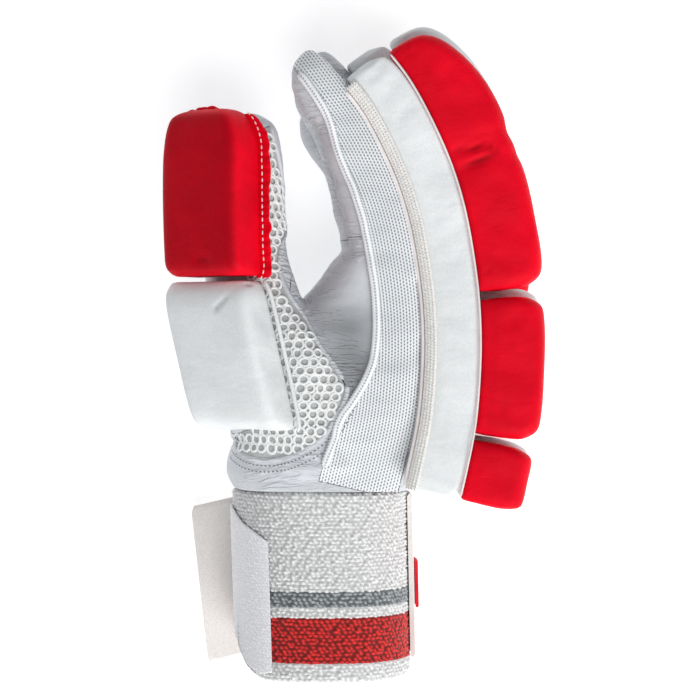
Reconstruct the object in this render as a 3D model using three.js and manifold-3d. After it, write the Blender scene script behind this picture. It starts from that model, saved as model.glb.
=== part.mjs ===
import * as THREE from 'three';
import { mergeVertices } from 'three/addons/utils/BufferGeometryUtils.js';
import Module from 'manifold-3d';

// Batting glove for the right hand. Lengths are in millimetres and angles in degrees.
// The glove is worked out upright: x runs from the palm to the back of the hand, y from the
// thumb side to the little finger side, and z from the cuff up to the fingertips. The last
// step lays it on its little finger side, with the fingers along +Y and the thumb on top.

// Hand and fingers
const HAND_LENGTH = 175;
const FINGER_CURL = 27;
const FINGER_PITCH = 24;
const FINGER_GAP = 1.2;
const PALM_INSIDE_FINGERS = 0.4;
const FINGER_DEPTH = 31;
const FINGER_SPREAD = 2;
const FINGERTIP = 21;
const LEATHER = 2;
const KNIT_SIDE_WIDTH = 24;
const BACK_SEAM_DEPTH = 9;
const SEAM_OUTSIDE = 6;
const PALM_SINK = 1.2;

// Wristband, its loop panel and its strap
const CUFF_HEIGHT = 81;
const CUFF_DEPTH = 76.4;
const CUFF_WIDTH = 76;
const CUFF_WALL = 2.5;
const CUFF_SHIFT = 4;
const LOOP_PANEL_HEIGHT = 71;
const LOOP_PANEL_WALL = 1.2;
const LOOP_PANEL_FOOT = 3;
const STRAP_WIDTH = 72;
const STRAP_TAIL = 49.5;
const STRAP_WALL = 2;
const STRAP_TOP_CLEARANCE = 2;
const STRAP_DROOP = 8;
const STRAP_EDGE_ROUND = 3;
const PATCH_WIDTH = 21;
const PATCH_DROP = 4;
const PATCH_WALL = 1.5;

// Thumb and its two pads
const THUMB_LENGTH = 152;
const THUMB_WIDTH = 60;
const THUMB_DEPTH = 34;
const THUMB_REACH = 32.5;
const THUMB_SIDE = 28;
const THUMB_TURN = 35;
const THUMB_ROOT = 10;
const THUMB_INNER_SIDE = 5;
const MESH_INNER_SIDE = -30;
const THUMB_TIP_PAD_WIDTH = 42;
const THUMB_BASE_PAD_WIDTH = 46;
const THUMB_PAD_EDGE = 20;
const THUMB_PAD_WALL = 20;
const THUMB_TIP_PAD_LENGTH = 71.5;
const THUMB_BASE_PAD_LENGTH = 62;
const THUMB_TIP_PAD_ROOT = 81;
const THUMB_BASE_PAD_ROOT = 16.5;

// Padding on the back of the hand
const BAR_THICKNESS = 20;
const ROLL_THICKNESS = 28;
const ROLL_GAP = 1;
const ROLL_CORNER = 7;
const BAR_CORNER = 4;
const PAD_CROWN_SHARE = 1.02;

// Clearance between two pieces that are sewn to each other, and under a pad on a curved seat
const GAP = 0.3;
const SEAT_GAP = 0.6;

const wasm = await Module();
wasm.setup();

// Height of a share of the hand's length above the wristband
const upHand = (share) => CUFF_HEIGHT + share * HAND_LENGTH;

// Value of one column of a table at a place along another, on a smooth curve through the rows
function readTable(rows, along, column, place) {
  const last = rows.length - 1;
  if (place <= rows[0][along]) {
    return rows[0][column];
  }
  if (place >= rows[last][along]) {
    return rows[last][column];
  }
  const index = rows.findIndex((row) => row[along] > place) - 1;
  const slope = (at) => {
    const before = rows[Math.max(at - 1, 0)];
    const after = rows[Math.min(at + 1, last)];
    return (after[column] - before[column]) / (after[along] - before[along]);
  };
  const low = rows[index];
  const high = rows[index + 1];
  const span = high[along] - low[along];
  const t = (place - low[along]) / span;
  const rise = high[column] - low[column];
  const ease = t * t * (3 - 2 * t);
  const start = t * (1 - t) * (1 - t) * slope(index) * span;
  const end = t * t * (1 - t) * slope(index + 1) * span;
  return low[column] + rise * ease + start - end;
}

// Closed body from a list of rings with as many points each, with a fan over both ends
function skin(rings) {
  const count = rings[0].length;
  const positions = rings.flat().flatMap((point) => [point.x, point.y, point.z]);
  const faces = [];
  for (let row = 0; row + 1 < rings.length; row += 1) {
    for (let k = 0; k < count; k += 1) {
      const here = row * count + k;
      const next = row * count + ((k + 1) % count);
      faces.push(here, next, next + count, here, next + count, here + count);
    }
  }
  [0, rings.length - 1].forEach((row) => {
    const middle = rings[row].reduce((sum, point) => sum.add(point), new THREE.Vector3());
    middle.divideScalar(count);
    const hub = positions.length / 3;
    positions.push(middle.x, middle.y, middle.z);
    for (let k = 0; k < count; k += 1) {
      const here = row * count + k;
      const next = row * count + ((k + 1) % count);
      faces.push(...(row === 0 ? [hub, next, here] : [hub, here, next]));
    }
  });
  return closedGeometry(positions, faces);
}

// Closed tube wall between an outer and an inner list of rings, open along its middle
function sleeve(outer, inner) {
  const rings = [...outer, ...inner.slice().reverse()];
  const count = rings[0].length;
  const positions = rings.flat().flatMap((point) => [point.x, point.y, point.z]);
  const faces = [];
  rings.forEach((ring, row) => {
    const above = (row + 1) % rings.length;
    for (let k = 0; k < count; k += 1) {
      const next = (k + 1) % count;
      const a = row * count + k;
      const b = row * count + next;
      const c = above * count + next;
      const d = above * count + k;
      faces.push(a, b, c, a, c, d);
    }
  });
  return closedGeometry(positions, faces);
}

// Geometry with its faces turned outwards
function closedGeometry(positions, faces) {
  const corner = (n) => new THREE.Vector3().fromArray(positions, 3 * n);
  let volume = 0;
  for (let k = 0; k < faces.length; k += 3) {
    volume += corner(faces[k]).dot(corner(faces[k + 1]).cross(corner(faces[k + 2])));
  }
  const index = volume > 0 ? faces : faces.slice().reverse();
  const geometry = new THREE.BufferGeometry();
  geometry.setAttribute('position', new THREE.Float32BufferAttribute(positions, 3));
  geometry.setIndex(index);
  return geometry;
}

// Solid for cutting and joining, and back to a geometry
function solidOf(geometry) {
  const bare = geometry.clone();
  bare.deleteAttribute('normal');
  bare.deleteAttribute('uv');
  const merged = mergeVertices(bare);
  return new wasm.Manifold(new wasm.Mesh({
    numProp: 3,
    vertProperties: new Float32Array(merged.attributes.position.array),
    triVerts: new Uint32Array(merged.index.array),
  }));
}

function geometryOf(solid) {
  const mesh = solid.getMesh();
  const geometry = new THREE.BufferGeometry();
  geometry.setAttribute('position', new THREE.BufferAttribute(mesh.vertProperties, 3));
  geometry.setIndex(new THREE.BufferAttribute(mesh.triVerts, 1));
  return geometry;
}

// Largest body of a solid that a cut has left in several
function largest(solid) {
  const bodies = solid.decompose();
  return bodies.reduce((best, body) => (body.volume() > best.volume() ? body : best));
}

// Points of a rounded square, given by its half sizes and how square it is, which may differ
// for its half towards the back of the hand
function oval(halfX, halfY, power, sides, backPower = power) {
  return Array.from({ length: sides }, (_, k) => {
    const angle = (2 * Math.PI * k) / sides;
    const exponent = 2 / (Math.cos(angle) > 0 ? backPower : power);
    const bend = (value) => Math.sign(value) * Math.abs(value) ** exponent;
    return { x: halfX * bend(Math.cos(angle)), y: halfY * bend(Math.sin(angle)) };
  });
}

// Outline in the x and z plane, moved outwards by a margin
function grownOutline(outline, margin) {
  const turn = THREE.ShapeUtils.area(outline) > 0 ? 1 : -1;
  return outline.map((point, k) => {
    const before = outline[(k + outline.length - 1) % outline.length];
    const after = outline[(k + 1) % outline.length];
    const into = point.clone().sub(before).normalize();
    const out = after.clone().sub(point).normalize();
    const side = into.clone().add(out).normalize();
    const reach = margin / Math.max(side.dot(into), 0.5);
    return new THREE.Vector2(point.x + turn * side.y * reach, point.y - turn * side.x * reach);
  });
}

// Straight cutter with an outline in the x and z plane, between two places along y
function prism(outline, nearest, farthest) {
  const geometry = new THREE.ExtrudeGeometry(new THREE.Shape(outline), {
    depth: farthest - nearest,
    bevelEnabled: false,
  });
  geometry.rotateX(Math.PI / 2);
  geometry.translate(0, farthest, 0);
  return solidOf(geometry);
}

// Seam where the knitted side meets the padded back: up is a share of the hand's length,
// back is a share of the finger curl
const backSeamRows = [
  { up: 0, back: 0 },
  { up: 0.085, back: 0.13 },
  { up: 0.18, back: 0.25 },
  { up: 0.276, back: 0.31 },
  { up: 0.37, back: 0.33 },
  { up: 0.468, back: 0.3 },
  { up: 0.563, back: 0.22 },
  { up: 0.66, back: 0.1 },
  { up: 0.743, back: -0.06 },
  { up: 0.827, back: -0.29 },
  { up: 0.93, back: -0.65 },
  { up: 1, back: -1 },
];
const KNUCKLES_SHARE = 0.42;

// Fingers: place across the hand in pitches, reach past the knuckles, and shares of the
// thickness and of the fingertip
const fingerRows = [
  { name: 'index', across: -1.5, reach: 1, depth: 0.94, tip: 1, spread: -1, colour: 'red' },
  { name: 'middle', across: -0.5, reach: 1.085, depth: 1.08, tip: 0.6, spread: -0.3, colour: 'white' },
  { name: 'ring', across: 0.5, reach: 1.02, depth: 1, tip: 0.9, spread: 0, colour: 'white' },
  { name: 'little', across: 1.5, reach: 0.88, depth: 0.87, tip: 0.9, spread: 0, colour: 'red' },
];

function backSeam(reach) {
  const points = backSeamRows.map(({ up, back }) => {
    const past = Math.max(up - KNUCKLES_SHARE, 0);
    const height = upHand(up + past * (reach - 1));
    return new THREE.Vector3(CUFF_DEPTH / 2 + back * FINGER_CURL, 0, height);
  });
  return new THREE.CatmullRomCurve3(points, false, 'centripetal');
}

// Place on a seam, also past its ends, with the directions along it and out of the hand's back
function stationOn(line, along) {
  const inside = Math.min(Math.max(along, 0), 1);
  const point = line.getPointAt(inside);
  const forward = line.getTangentAt(inside);
  point.addScaledVector(forward, (along - inside) * line.getLength());
  const outward = new THREE.Vector3(forward.z, 0, -forward.x);
  return { point, outward };
}

const HAND_WIDTH = fingerRows.length * FINGER_PITCH - FINGER_GAP - PALM_INSIDE_FINGERS;
const fingers = fingerRows.map((row) => ({ ...row, line: backSeam(row.reach) }));
const indexFinger = fingers[0];
const littleFinger = fingers[fingers.length - 1];

// Middle of a finger across the hand, which spreads from the knuckles on
const SPREAD_SHARE = 0.4;

function fingerCentre(finger, along) {
  const spread = finger.spread * FINGER_SPREAD * THREE.MathUtils.smoothstep(along, SPREAD_SHARE, 1);
  return finger.across * FINGER_PITCH + spread;
}

// Finger shell: stations along the seam from inside the palm, and past the seam's end in
// shares of the fingertip
const shaftRows = [
  { along: 0.5, wide: 0.88, deep: 1 },
  { along: 0.54, wide: 1, deep: 1 },
  { along: 0.6, wide: 1, deep: 1 },
  { along: 0.67, wide: 1, deep: 1 },
  { along: 0.74, wide: 1, deep: 0.97 },
  { along: 0.81, wide: 1, deep: 0.92 },
  { along: 0.88, wide: 1, deep: 0.85 },
  { along: 0.945, wide: 1, deep: 0.8 },
  { along: 1, wide: 1, deep: 0.76 },
];
const fingertipRows = [
  { past: 0.35, deep: 0.7, wide: 0.95, raise: 0.02 },
  { past: 0.7, deep: 0.56, wide: 0.78, raise: 0.05 },
  { past: 0.92, deep: 0.34, wide: 0.5, raise: 0.1 },
  { past: 1, deep: 0.14, wide: 0.2, raise: 0.14 },
];
const FINGER_SIDES = 12;
const FINGER_SQUARENESS = 2.8;

function fingerShell(finger, inset) {
  const depth = finger.depth * FINGER_DEPTH;
  const halfWidth = (FINGER_PITCH - FINGER_GAP) / 2;
  const tipShare = (finger.tip * FINGERTIP - inset) / finger.line.getLength();
  const ringAt = (along, deep, wide, raise) => {
    const { point, outward } = stationOn(finger.line, along);
    const middle = -SEAT_GAP - (deep * depth) / 2 - raise * depth;
    const shape = oval((depth * deep) / 2 - inset * deep, (halfWidth - inset) * wide, FINGER_SQUARENESS, FINGER_SIDES);
    return shape.map(({ x, y }) => {
      const place = point.clone().addScaledVector(outward, middle + x);
      place.y = fingerCentre(finger, along) + y;
      return place;
    });
  };
  const shaft = shaftRows.map(({ along, wide, deep }) => ringAt(along, deep, wide, 0));
  const tip = fingertipRows.map((row) => ringAt(1 + row.past * tipShare, row.deep, row.wide, row.raise));
  return skin([...shaft, ...tip]);
}

// Palm: up is a share of the hand's length, deep a share of the wristband's depth and flare
// the widening from the wristband to the hand
const palmRows = [
  { up: 0, deep: 1, flare: 0 },
  { up: 0.051, deep: 1.07, flare: 0.22 },
  { up: 0.12, deep: 1.05, flare: 0.6 },
  { up: 0.189, deep: 0.96, flare: 0.87 },
  { up: 0.263, deep: 0.85, flare: 1 },
  { up: 0.349, deep: 0.776, flare: 1 },
  { up: 0.434, deep: 0.743, flare: 1 },
  { up: 0.48, deep: 0.69, flare: 1 },
  { up: 0.525, deep: 0.58, flare: 1 },
  { up: 0.577, deep: 0.48, flare: 1 },
  { up: 0.605, deep: 0.38, flare: 0.98 },
];
const PALM_SIDES = 22;
const PALM_SQUARENESS = 3;
const PALM_BACK_SQUARENESS = 7;

function seamDepthAt(height) {
  const rows = backSeamRows.map(({ up, back }) => ({ height: upHand(up), x: back }));
  return CUFF_DEPTH / 2 + readTable(rows, 'height', 'x', height) * FINGER_CURL;
}

function palmRing(row, height, inset) {
  const back = seamDepthAt(height) - PALM_SINK * Math.min(row.flare * 2, 1);
  const deep = row.deep * CUFF_DEPTH;
  const wide = THREE.MathUtils.lerp(CUFF_WIDTH, HAND_WIDTH, row.flare);
  const shift = CUFF_SHIFT * (1 - row.flare);
  const shape = oval(deep / 2 - inset, wide / 2 - inset, PALM_SQUARENESS, PALM_SIDES, PALM_BACK_SQUARENESS);
  return shape.map(({ x, y }) => new THREE.Vector3(back - deep / 2 + x, shift + y, height));
}

function palmShell(inset) {
  const last = palmRows[palmRows.length - 1];
  const rings = palmRows.map((row) => palmRing(row, upHand(row.up) + (row === last ? -inset : 0), inset));
  const foot = inset > 0 ? CUFF_HEIGHT - LEATHER : CUFF_HEIGHT + GAP;
  rings[0] = palmRing(palmRows[0], foot, inset);
  return skin(rings);
}

// Thumb: along is a share of its length, out a share of its reach towards the palm side,
// side a share of its place towards the index finger side, wide and deep of its girth
const thumbRows = [
  { along: 0, out: 0.246, side: 0.857, wide: 0.867, deep: 0.94 },
  { along: 0.105, out: 0.43, side: 0.9, wide: 0.9, deep: 1 },
  { along: 0.21, out: 0.615, side: 0.964, wide: 0.967, deep: 0.97 },
  { along: 0.316, out: 0.646, side: 0.98, wide: 1, deep: 0.91 },
  { along: 0.401, out: 0.785, side: 1, wide: 0.867, deep: 0.85 },
  { along: 0.487, out: 0.892, side: 1, wide: 0.75, deep: 0.82 },
  { along: 0.586, out: 0.97, side: 1, wide: 0.633, deep: 0.79 },
  { along: 0.704, out: 1, side: 1, wide: 0.583, deep: 0.79 },
  { along: 0.829, out: 0.985, side: 1, wide: 0.55, deep: 0.765 },
  { along: 0.914, out: 0.97, side: 1, wide: 0.5, deep: 0.706 },
  { along: 0.967, out: 0.954, side: 1, wide: 0.367, deep: 0.53 },
  { along: 1, out: 0.954, side: 1, wide: 0.133, deep: 0.235 },
];
const THUMB_SIDES = 14;
const THUMB_SQUARENESS = 2.4;
const turned = THREE.MathUtils.degToRad(THUMB_TURN);
const thumbAcross = new THREE.Vector3(Math.cos(turned), -Math.sin(turned), 0);
const thumbOutward = new THREE.Vector3(-Math.sin(turned), -Math.cos(turned), 0);

function thumbAt(along) {
  const out = readTable(thumbRows, 'along', 'out', along) * THUMB_REACH;
  const side = readTable(thumbRows, 'along', 'side', along) * THUMB_SIDE;
  return {
    centre: new THREE.Vector3(-out, -side, CUFF_HEIGHT + THUMB_ROOT + along * THUMB_LENGTH),
    halfWidth: (readTable(thumbRows, 'along', 'wide', along) * THUMB_WIDTH) / 2,
    halfDepth: (readTable(thumbRows, 'along', 'deep', along) * THUMB_DEPTH) / 2,
  };
}

function thumbShell(inset) {
  const rings = thumbRows.map(({ along }) => {
    const { centre, halfWidth, halfDepth } = thumbAt(along);
    const width = Math.max(halfWidth - inset, inset);
    const depth = Math.max(halfDepth - inset, inset / 2);
    centre.z -= along === 1 ? inset : 0;
    return oval(width, depth, THUMB_SQUARENESS, THUMB_SIDES).map(({ x, y }) => (
      centre.clone().addScaledVector(thumbAcross, x).addScaledVector(thumbOutward, y)
    ));
  });
  return skin(rings);
}

// Rounded section of a pad, from its seat at zero up to its crown, for one station. The upper
// corner is cut at two angles, and the lower one is a share of it
const MOST_ROUND_SHARE = 0.9;
const LOWER_ROUND_SHARE = 0.3;
const CORNER_ANGLES = [90, 38];

function padSection(halfWidth, height, corner, crown) {
  const round = Math.min(corner, halfWidth * MOST_ROUND_SHARE, height * MOST_ROUND_SHARE);
  const low = round * LOWER_ROUND_SHARE;
  const arc = CORNER_ANGLES.map((degrees) => {
    const angle = THREE.MathUtils.degToRad(degrees);
    return {
      across: halfWidth - round + round * Math.sin(angle),
      rise: height - round + round * Math.cos(angle),
    };
  });
  const right = [{ across: halfWidth - low, rise: 0 }, { across: halfWidth, rise: low }, ...arc];
  const left = right.map(({ across, rise }) => ({ across: -across, rise })).reverse();
  return [...right, { across: 0, rise: height * crown }, ...left];
}

// Pad on a finger's back, from one place on the seam to another: rows give the station along
// the pad and the share of its full height and width there
function backPad(finger, from, to, seat, thickness, corner, rows) {
  const halfWidth = (FINGER_PITCH - ROLL_GAP) / 2;
  const rings = rows.map(({ along, rise, wide }) => {
    const place = from + along * (to - from);
    const { point, outward } = stationOn(finger.line, place);
    const section = padSection(halfWidth * wide, thickness * rise, corner, PAD_CROWN_SHARE);
    return section.map((spot) => {
      const corner3 = point.clone().addScaledVector(outward, seat + spot.rise);
      corner3.y = fingerCentre(finger, place) + spot.across;
      return corner3;
    });
  });
  return skin(rings);
}

const barRows = [
  { along: 0, rise: 0.78, wide: 0.88 },
  { along: 0.02, rise: 0.96, wide: 0.97 },
  { along: 0.06, rise: 1, wide: 1 },
  { along: 0.18, rise: 1, wide: 1 },
  { along: 0.31, rise: 1, wide: 1 },
  { along: 0.43, rise: 1, wide: 1 },
  { along: 0.54, rise: 1, wide: 1 },
  { along: 0.65, rise: 1, wide: 1 },
  { along: 0.75, rise: 1, wide: 1 },
  { along: 0.84, rise: 1, wide: 1 },
  { along: 0.92, rise: 1, wide: 1 },
  { along: 0.985, rise: 0.9, wide: 0.93 },
  { along: 1, rise: 0.6, wide: 0.75 },
];
const fingerRollRows = [
  { along: 0, rise: 0.72, wide: 0.8 },
  { along: 0.03, rise: 0.93, wide: 0.95 },
  { along: 0.09, rise: 1, wide: 1 },
  { along: 0.25, rise: 1, wide: 1 },
  { along: 0.44, rise: 1, wide: 1 },
  { along: 0.47, rise: 0.96, wide: 0.93 },
  { along: 0.51, rise: 1, wide: 1 },
  { along: 0.545, rise: 0.96, wide: 0.93 },
  { along: 0.58, rise: 1, wide: 1 },
  { along: 0.7, rise: 1, wide: 1 },
  { along: 0.8, rise: 0.94, wide: 1 },
  { along: 0.88, rise: 0.83, wide: 0.98 },
  { along: 0.945, rise: 0.67, wide: 0.93 },
  { along: 0.985, rise: 0.48, wide: 0.84 },
  { along: 1, rise: 0.25, wide: 0.6 },
];
const shortRollRows = [
  { along: 0, rise: 0.75, wide: 0.82 },
  { along: 0.05, rise: 0.95, wide: 0.96 },
  { along: 0.14, rise: 1, wide: 1 },
  { along: 0.38, rise: 1, wide: 1 },
  { along: 0.62, rise: 1, wide: 1 },
  { along: 0.86, rise: 1, wide: 1 },
  { along: 0.95, rise: 0.95, wide: 0.96 },
  { along: 1, rise: 0.75, wide: 0.82 },
];

// The padded rolls on each bar, in shares of the seam's length, and how thick each one is
const barSpan = { from: 0.012, to: 1.005 };
const rollRows = [
  { name: 'back_roll', from: 0.012, to: 0.152, thick: 0.93, rows: shortRollRows },
  { name: 'knuckle_roll', from: 0.16, to: 0.445, thick: 0.96, rows: shortRollRows },
  { name: 'finger_roll', from: 0.455, to: 0.99, thick: 1, rows: fingerRollRows },
];

// Pad on the outer side of the thumb, between two shares of the thumb's length
const thumbTipPadRows = [
  { along: 0, rise: 0.78, wide: 0.9 },
  { along: 0.04, rise: 0.95, wide: 0.98 },
  { along: 0.13, rise: 1, wide: 1 },
  { along: 0.45, rise: 1, wide: 1 },
  { along: 0.75, rise: 1, wide: 1 },
  { along: 0.88, rise: 0.98, wide: 0.97 },
  { along: 0.96, rise: 0.86, wide: 0.87 },
  { along: 1, rise: 0.55, wide: 0.68 },
];
const thumbBasePadRows = [
  { along: 0, rise: 0.6, wide: 0.93 },
  { along: 0.05, rise: 0.85, wide: 0.99 },
  { along: 0.2, rise: 0.97, wide: 1 },
  { along: 0.45, rise: 1, wide: 1 },
  { along: 0.7, rise: 1, wide: 1 },
  { along: 0.93, rise: 0.96, wide: 0.98 },
  { along: 1, rise: 0.78, wide: 0.9 },
];
const THINNEST_SEAT_SHARE = 0.79;

function thumbPad(root, length, width, rows) {
  const rings = rows.map(({ along, rise, wide }) => {
    const { centre, halfDepth } = thumbAt(Math.min((root + along * length) / THUMB_LENGTH, 1));
    const seat = Math.max(halfDepth, (THUMB_DEPTH / 2) * THINNEST_SEAT_SHARE) + GAP;
    centre.z = CUFF_HEIGHT + THUMB_ROOT + root + along * length;
    const section = padSection((width / 2) * wide, THUMB_PAD_WALL * rise, BAR_CORNER, PAD_CROWN_SHARE);
    return section.map((spot) => (
      centre.clone()
        .addScaledVector(thumbAcross, THUMB_PAD_EDGE - width / 2 + spot.across)
        .addScaledVector(thumbOutward, seat + spot.rise)
    ));
  });
  return skin(rings);
}

// Wristband: up is a share of its height, lean a share of its depth, girth of its size
const cuffRows = [
  { up: 0, lean: 0.018, girth: 0.985 },
  { up: 0.04, lean: 0.017, girth: 1 },
  { up: 1, lean: -0.01, girth: 1.01 },
];
const CUFF_SIDES = 32;
const CUFF_SQUARENESS = 2.4;

// Corner of the wristband's many-sided outline, at a distance off its outside
function cuffCorner(side, off, up) {
  const girth = readTable(cuffRows, 'up', 'girth', up);
  const halfX = (CUFF_DEPTH / 2) * girth;
  const halfY = (CUFF_WIDTH / 2) * girth;
  const angle = (2 * Math.PI * side) / CUFF_SIDES;
  const bend = (value, power) => Math.sign(value) * Math.abs(value) ** power;
  const across = bend(Math.cos(angle), 2 / CUFF_SQUARENESS);
  const along = bend(Math.sin(angle), 2 / CUFF_SQUARENESS);
  const power = CUFF_SQUARENESS - 1;
  const out = new THREE.Vector3(bend(across, power) / halfX, bend(along, power) / halfY, 0).normalize();
  const lean = readTable(cuffRows, 'up', 'lean', up) * CUFF_DEPTH;
  const place = new THREE.Vector3(lean + halfX * across, CUFF_SHIFT + halfY * along, up * CUFF_HEIGHT);
  return { place: place.addScaledVector(out, off), out };
}

// The same between two corners, where side isn't a whole number
function offCuff(side, off, up) {
  const before = cuffCorner(Math.floor(side), off, up);
  const after = cuffCorner(Math.floor(side) + 1, off, up);
  const share = side - Math.floor(side);
  return {
    place: before.place.lerp(after.place, share),
    out: before.out.lerp(after.out, share).normalize(),
  };
}

function cuffWall() {
  const sides = Array.from({ length: CUFF_SIDES }, (_, side) => side);
  const ringsAt = (off) => cuffRows.map(({ up }) => sides.map((side) => cuffCorner(side, off, up).place));
  return sleeve(ringsAt(0), ringsAt(-CUFF_WALL));
}

// Band of cloth: each station has its lower and upper edge and its outward direction
function ribbon(stations, thickness) {
  return skin(stations.map(({ low, high, out }) => [
    low,
    low.clone().addScaledVector(out, thickness),
    high.clone().addScaledVector(out, thickness),
    high,
  ]));
}

// Station of a band that lies on the wristband between two heights
function cuffStation(side, off, low, high) {
  const under = offCuff(side, off, low / CUFF_HEIGHT);
  const over = offCuff(side, off, high / CUFF_HEIGHT);
  return { low: under.place, high: over.place, out: under.out };
}

// Loop panel: side counts the sides of the wristband from the back of the hand, low and high
// are shares of the panel's height
const loopPanelRows = [
  { side: 12.5, low: 0.1, high: 0.92 },
  { side: 13, low: 0.02, high: 1 },
  { side: 14, low: 0, high: 1 },
  { side: 15, low: 0, high: 1 },
  { side: 16, low: 0, high: 1 },
  { side: 17, low: 0, high: 0.99 },
  { side: 18, low: 0, high: 0.96 },
  { side: 19, low: 0, high: 0.91 },
  { side: 20, low: 0, high: 0.87 },
  { side: 20.6, low: 0, high: 0.84 },
];

function loopPanel() {
  const height = (share) => LOOP_PANEL_FOOT + share * LOOP_PANEL_HEIGHT;
  return ribbon(loopPanelRows.map(({ side, low, high }) => (
    cuffStation(side, GAP, height(low), height(high))
  )), LOOP_PANEL_WALL);
}

// Strap: round the little finger side of the wristband, then free in a nearly straight tail
// that droops towards its end
const STRAP_FIRST_SIDE = -1;
const STRAP_LAST_SIDE = 9;
const tailRows = [
  { along: 0.12, droop: 0.02, turn: 2 },
  { along: 0.35, droop: 0.25, turn: 4 },
  { along: 0.65, droop: 0.6, turn: 5 },
  { along: 0.94, droop: 1, turn: 4 },
  { along: 1, droop: 1.05, turn: 4 },
];

function strap() {
  const top = CUFF_HEIGHT - STRAP_TOP_CLEARANCE;
  const bottom = top - STRAP_WIDTH;
  const sides = Array.from({ length: STRAP_LAST_SIDE - STRAP_FIRST_SIDE + 1 }, (_, k) => STRAP_FIRST_SIDE + k);
  const round = sides.map((side) => cuffStation(side, GAP, bottom, top));
  const root = round[round.length - 1];
  const upwards = new THREE.Vector3(0, 0, 1);
  const forward = new THREE.Vector3().crossVectors(upwards, root.out);
  const tail = tailRows.map(({ along, droop, turn }) => {
    const out = root.out.clone().applyAxisAngle(upwards, THREE.MathUtils.degToRad(turn));
    const narrow = along === 1 ? STRAP_EDGE_ROUND : 0;
    const edge = (from, side) => {
      const place = from.clone().addScaledVector(forward, along * STRAP_TAIL);
      place.z -= droop * STRAP_DROOP + side * narrow;
      return place;
    };
    return { low: edge(root.low, -1), high: edge(root.high, 1), out };
  });
  return ribbon([...round, ...tail], STRAP_WALL);
}

// Patch on the outside of the strap, between two sides of the wristband
const PATCH_FIRST_SIDE = -0.5;
const PATCH_LAST_SIDE = 6.6;

function strapPatch() {
  const middle = CUFF_HEIGHT - STRAP_TOP_CLEARANCE - STRAP_WIDTH / 2 - PATCH_DROP;
  const between = Array.from({ length: Math.ceil(PATCH_LAST_SIDE) }, (_, side) => side);
  const stations = [PATCH_FIRST_SIDE, ...between, PATCH_LAST_SIDE].map((side) => (
    cuffStation(side, GAP + STRAP_WALL + GAP, middle - PATCH_WIDTH / 2, middle + PATCH_WIDTH / 2)
  ));
  return ribbon(stations, PATCH_WALL);
}

// Hollow hand: palm, fingers and thumb joined, less the same forms one wall smaller
function hollowHand() {
  const forms = (inset) => [
    palmShell(inset),
    thumbShell(inset),
    ...fingers.map((finger) => fingerShell(finger, inset)),
  ].map(solidOf);
  const join = (solids) => solids.reduce((whole, solid) => whole.add(solid));
  return join(forms(0)).subtract(join(forms(LEATHER)));
}

// Knitted side panel: its width from the back seam, in shares of the panel's full width
const knitSideRows = [
  { along: -0.02, wide: 1.62 },
  { along: 0.08, wide: 1.58 },
  { along: 0.155, wide: 1.48 },
  { along: 0.22, wide: 1.28 },
  { along: 0.29, wide: 1.07 },
  { along: 0.36, wide: 1 },
  { along: 0.45, wide: 0.97 },
  { along: 0.6, wide: 0.95 },
  { along: 0.75, wide: 0.92 },
  { along: 0.85, wide: 0.88 },
  { along: 0.93, wide: 0.75 },
  { along: 1, wide: 0.65 },
  { along: 1.13, wide: 0.6 },
];

// Below this share of the seam the hand narrows to the wristband
const NARROW_SHARE = 0.3;

// Outline between the outside of the back seam and a line inside it
function alongSeam(line, rows) {
  const edge = (along, depth) => {
    const { point, outward } = stationOn(line, along);
    return new THREE.Vector2(point.x + outward.x * depth, point.z + outward.z * depth);
  };
  const outside = rows.map(({ along }) => edge(along, SEAM_OUTSIDE));
  const inside = rows.map(({ along, depth }) => edge(along, -depth));
  return [...outside, ...inside.reverse()];
}

function knitSideOutline(finger) {
  return alongSeam(finger.line, knitSideRows.map(({ along, wide }) => (
    { along, depth: wide * KNIT_SIDE_WIDTH }
  )));
}

// Outlines in shares of the hand's length and of half the wristband's depth, which run past
// the hand on its palm side, its back and its fingertips
const PAST_PALM = -2;
const PAST_BACK = 2.4;
const PAST_THUMB_TIP = 1.05;
const PAST_FINGERTIPS = 1.3;
const thumbMeshRows = [
  { up: 0.89, back: -0.57 },
  { up: 0.804, back: -0.469 },
  { up: 0.737, back: -0.424 },
  { up: 0.673, back: -0.327 },
  { up: 0.61, back: -0.44 },
  { up: 0.543, back: -0.469 },
  { up: 0.483, back: -0.364 },
  { up: 0.422, back: -0.175 },
  { up: 0.36, back: -0.031 },
  { up: 0.298, back: 0.178 },
  { up: 0.253, back: 0.275 },
  { up: 0.193, back: 0.165 },
  { up: 0.141, back: 0.003 },
  { up: 0.109, back: -0.217 },
  { up: 0.088, back: -0.49 },
  { up: 0.09, back: -0.764 },
  { up: 0.109, back: -0.927 },
  { up: 0.141, back: -1.005 },
  { up: 0.154, back: -0.785 },
  { up: 0.189, back: -0.576 },
  { up: 0.263, back: -0.524 },
  { up: 0.406, back: -0.628 },
  { up: 0.52, back: -0.785 },
  { up: 0.691, back: -0.785 },
  { up: 0.863, back: -0.733 },
];
const thumbRegionRows = [
  { up: 0.143, back: PAST_PALM },
  { up: 0.143, back: 0.02 },
  { up: 0.253, back: 0.3 },
  { up: 0.298, back: 0.2 },
  { up: 0.36, back: -0.02 },
  { up: 0.422, back: -0.165 },
  { up: 0.483, back: -0.34 },
  { up: 0.6, back: -0.3 },
  { up: 0.67, back: -0.32 },
  { up: 0.73, back: -0.445 },
  { up: PAST_THUMB_TIP, back: -0.445 },
  { up: PAST_THUMB_TIP, back: PAST_PALM },
];
const fingerRegionRows = [
  { up: 0.62, back: -0.44 },
  { up: 0.62, back: PAST_BACK },
  { up: PAST_FINGERTIPS, back: PAST_BACK },
  { up: PAST_FINGERTIPS, back: -0.44 },
];

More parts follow.
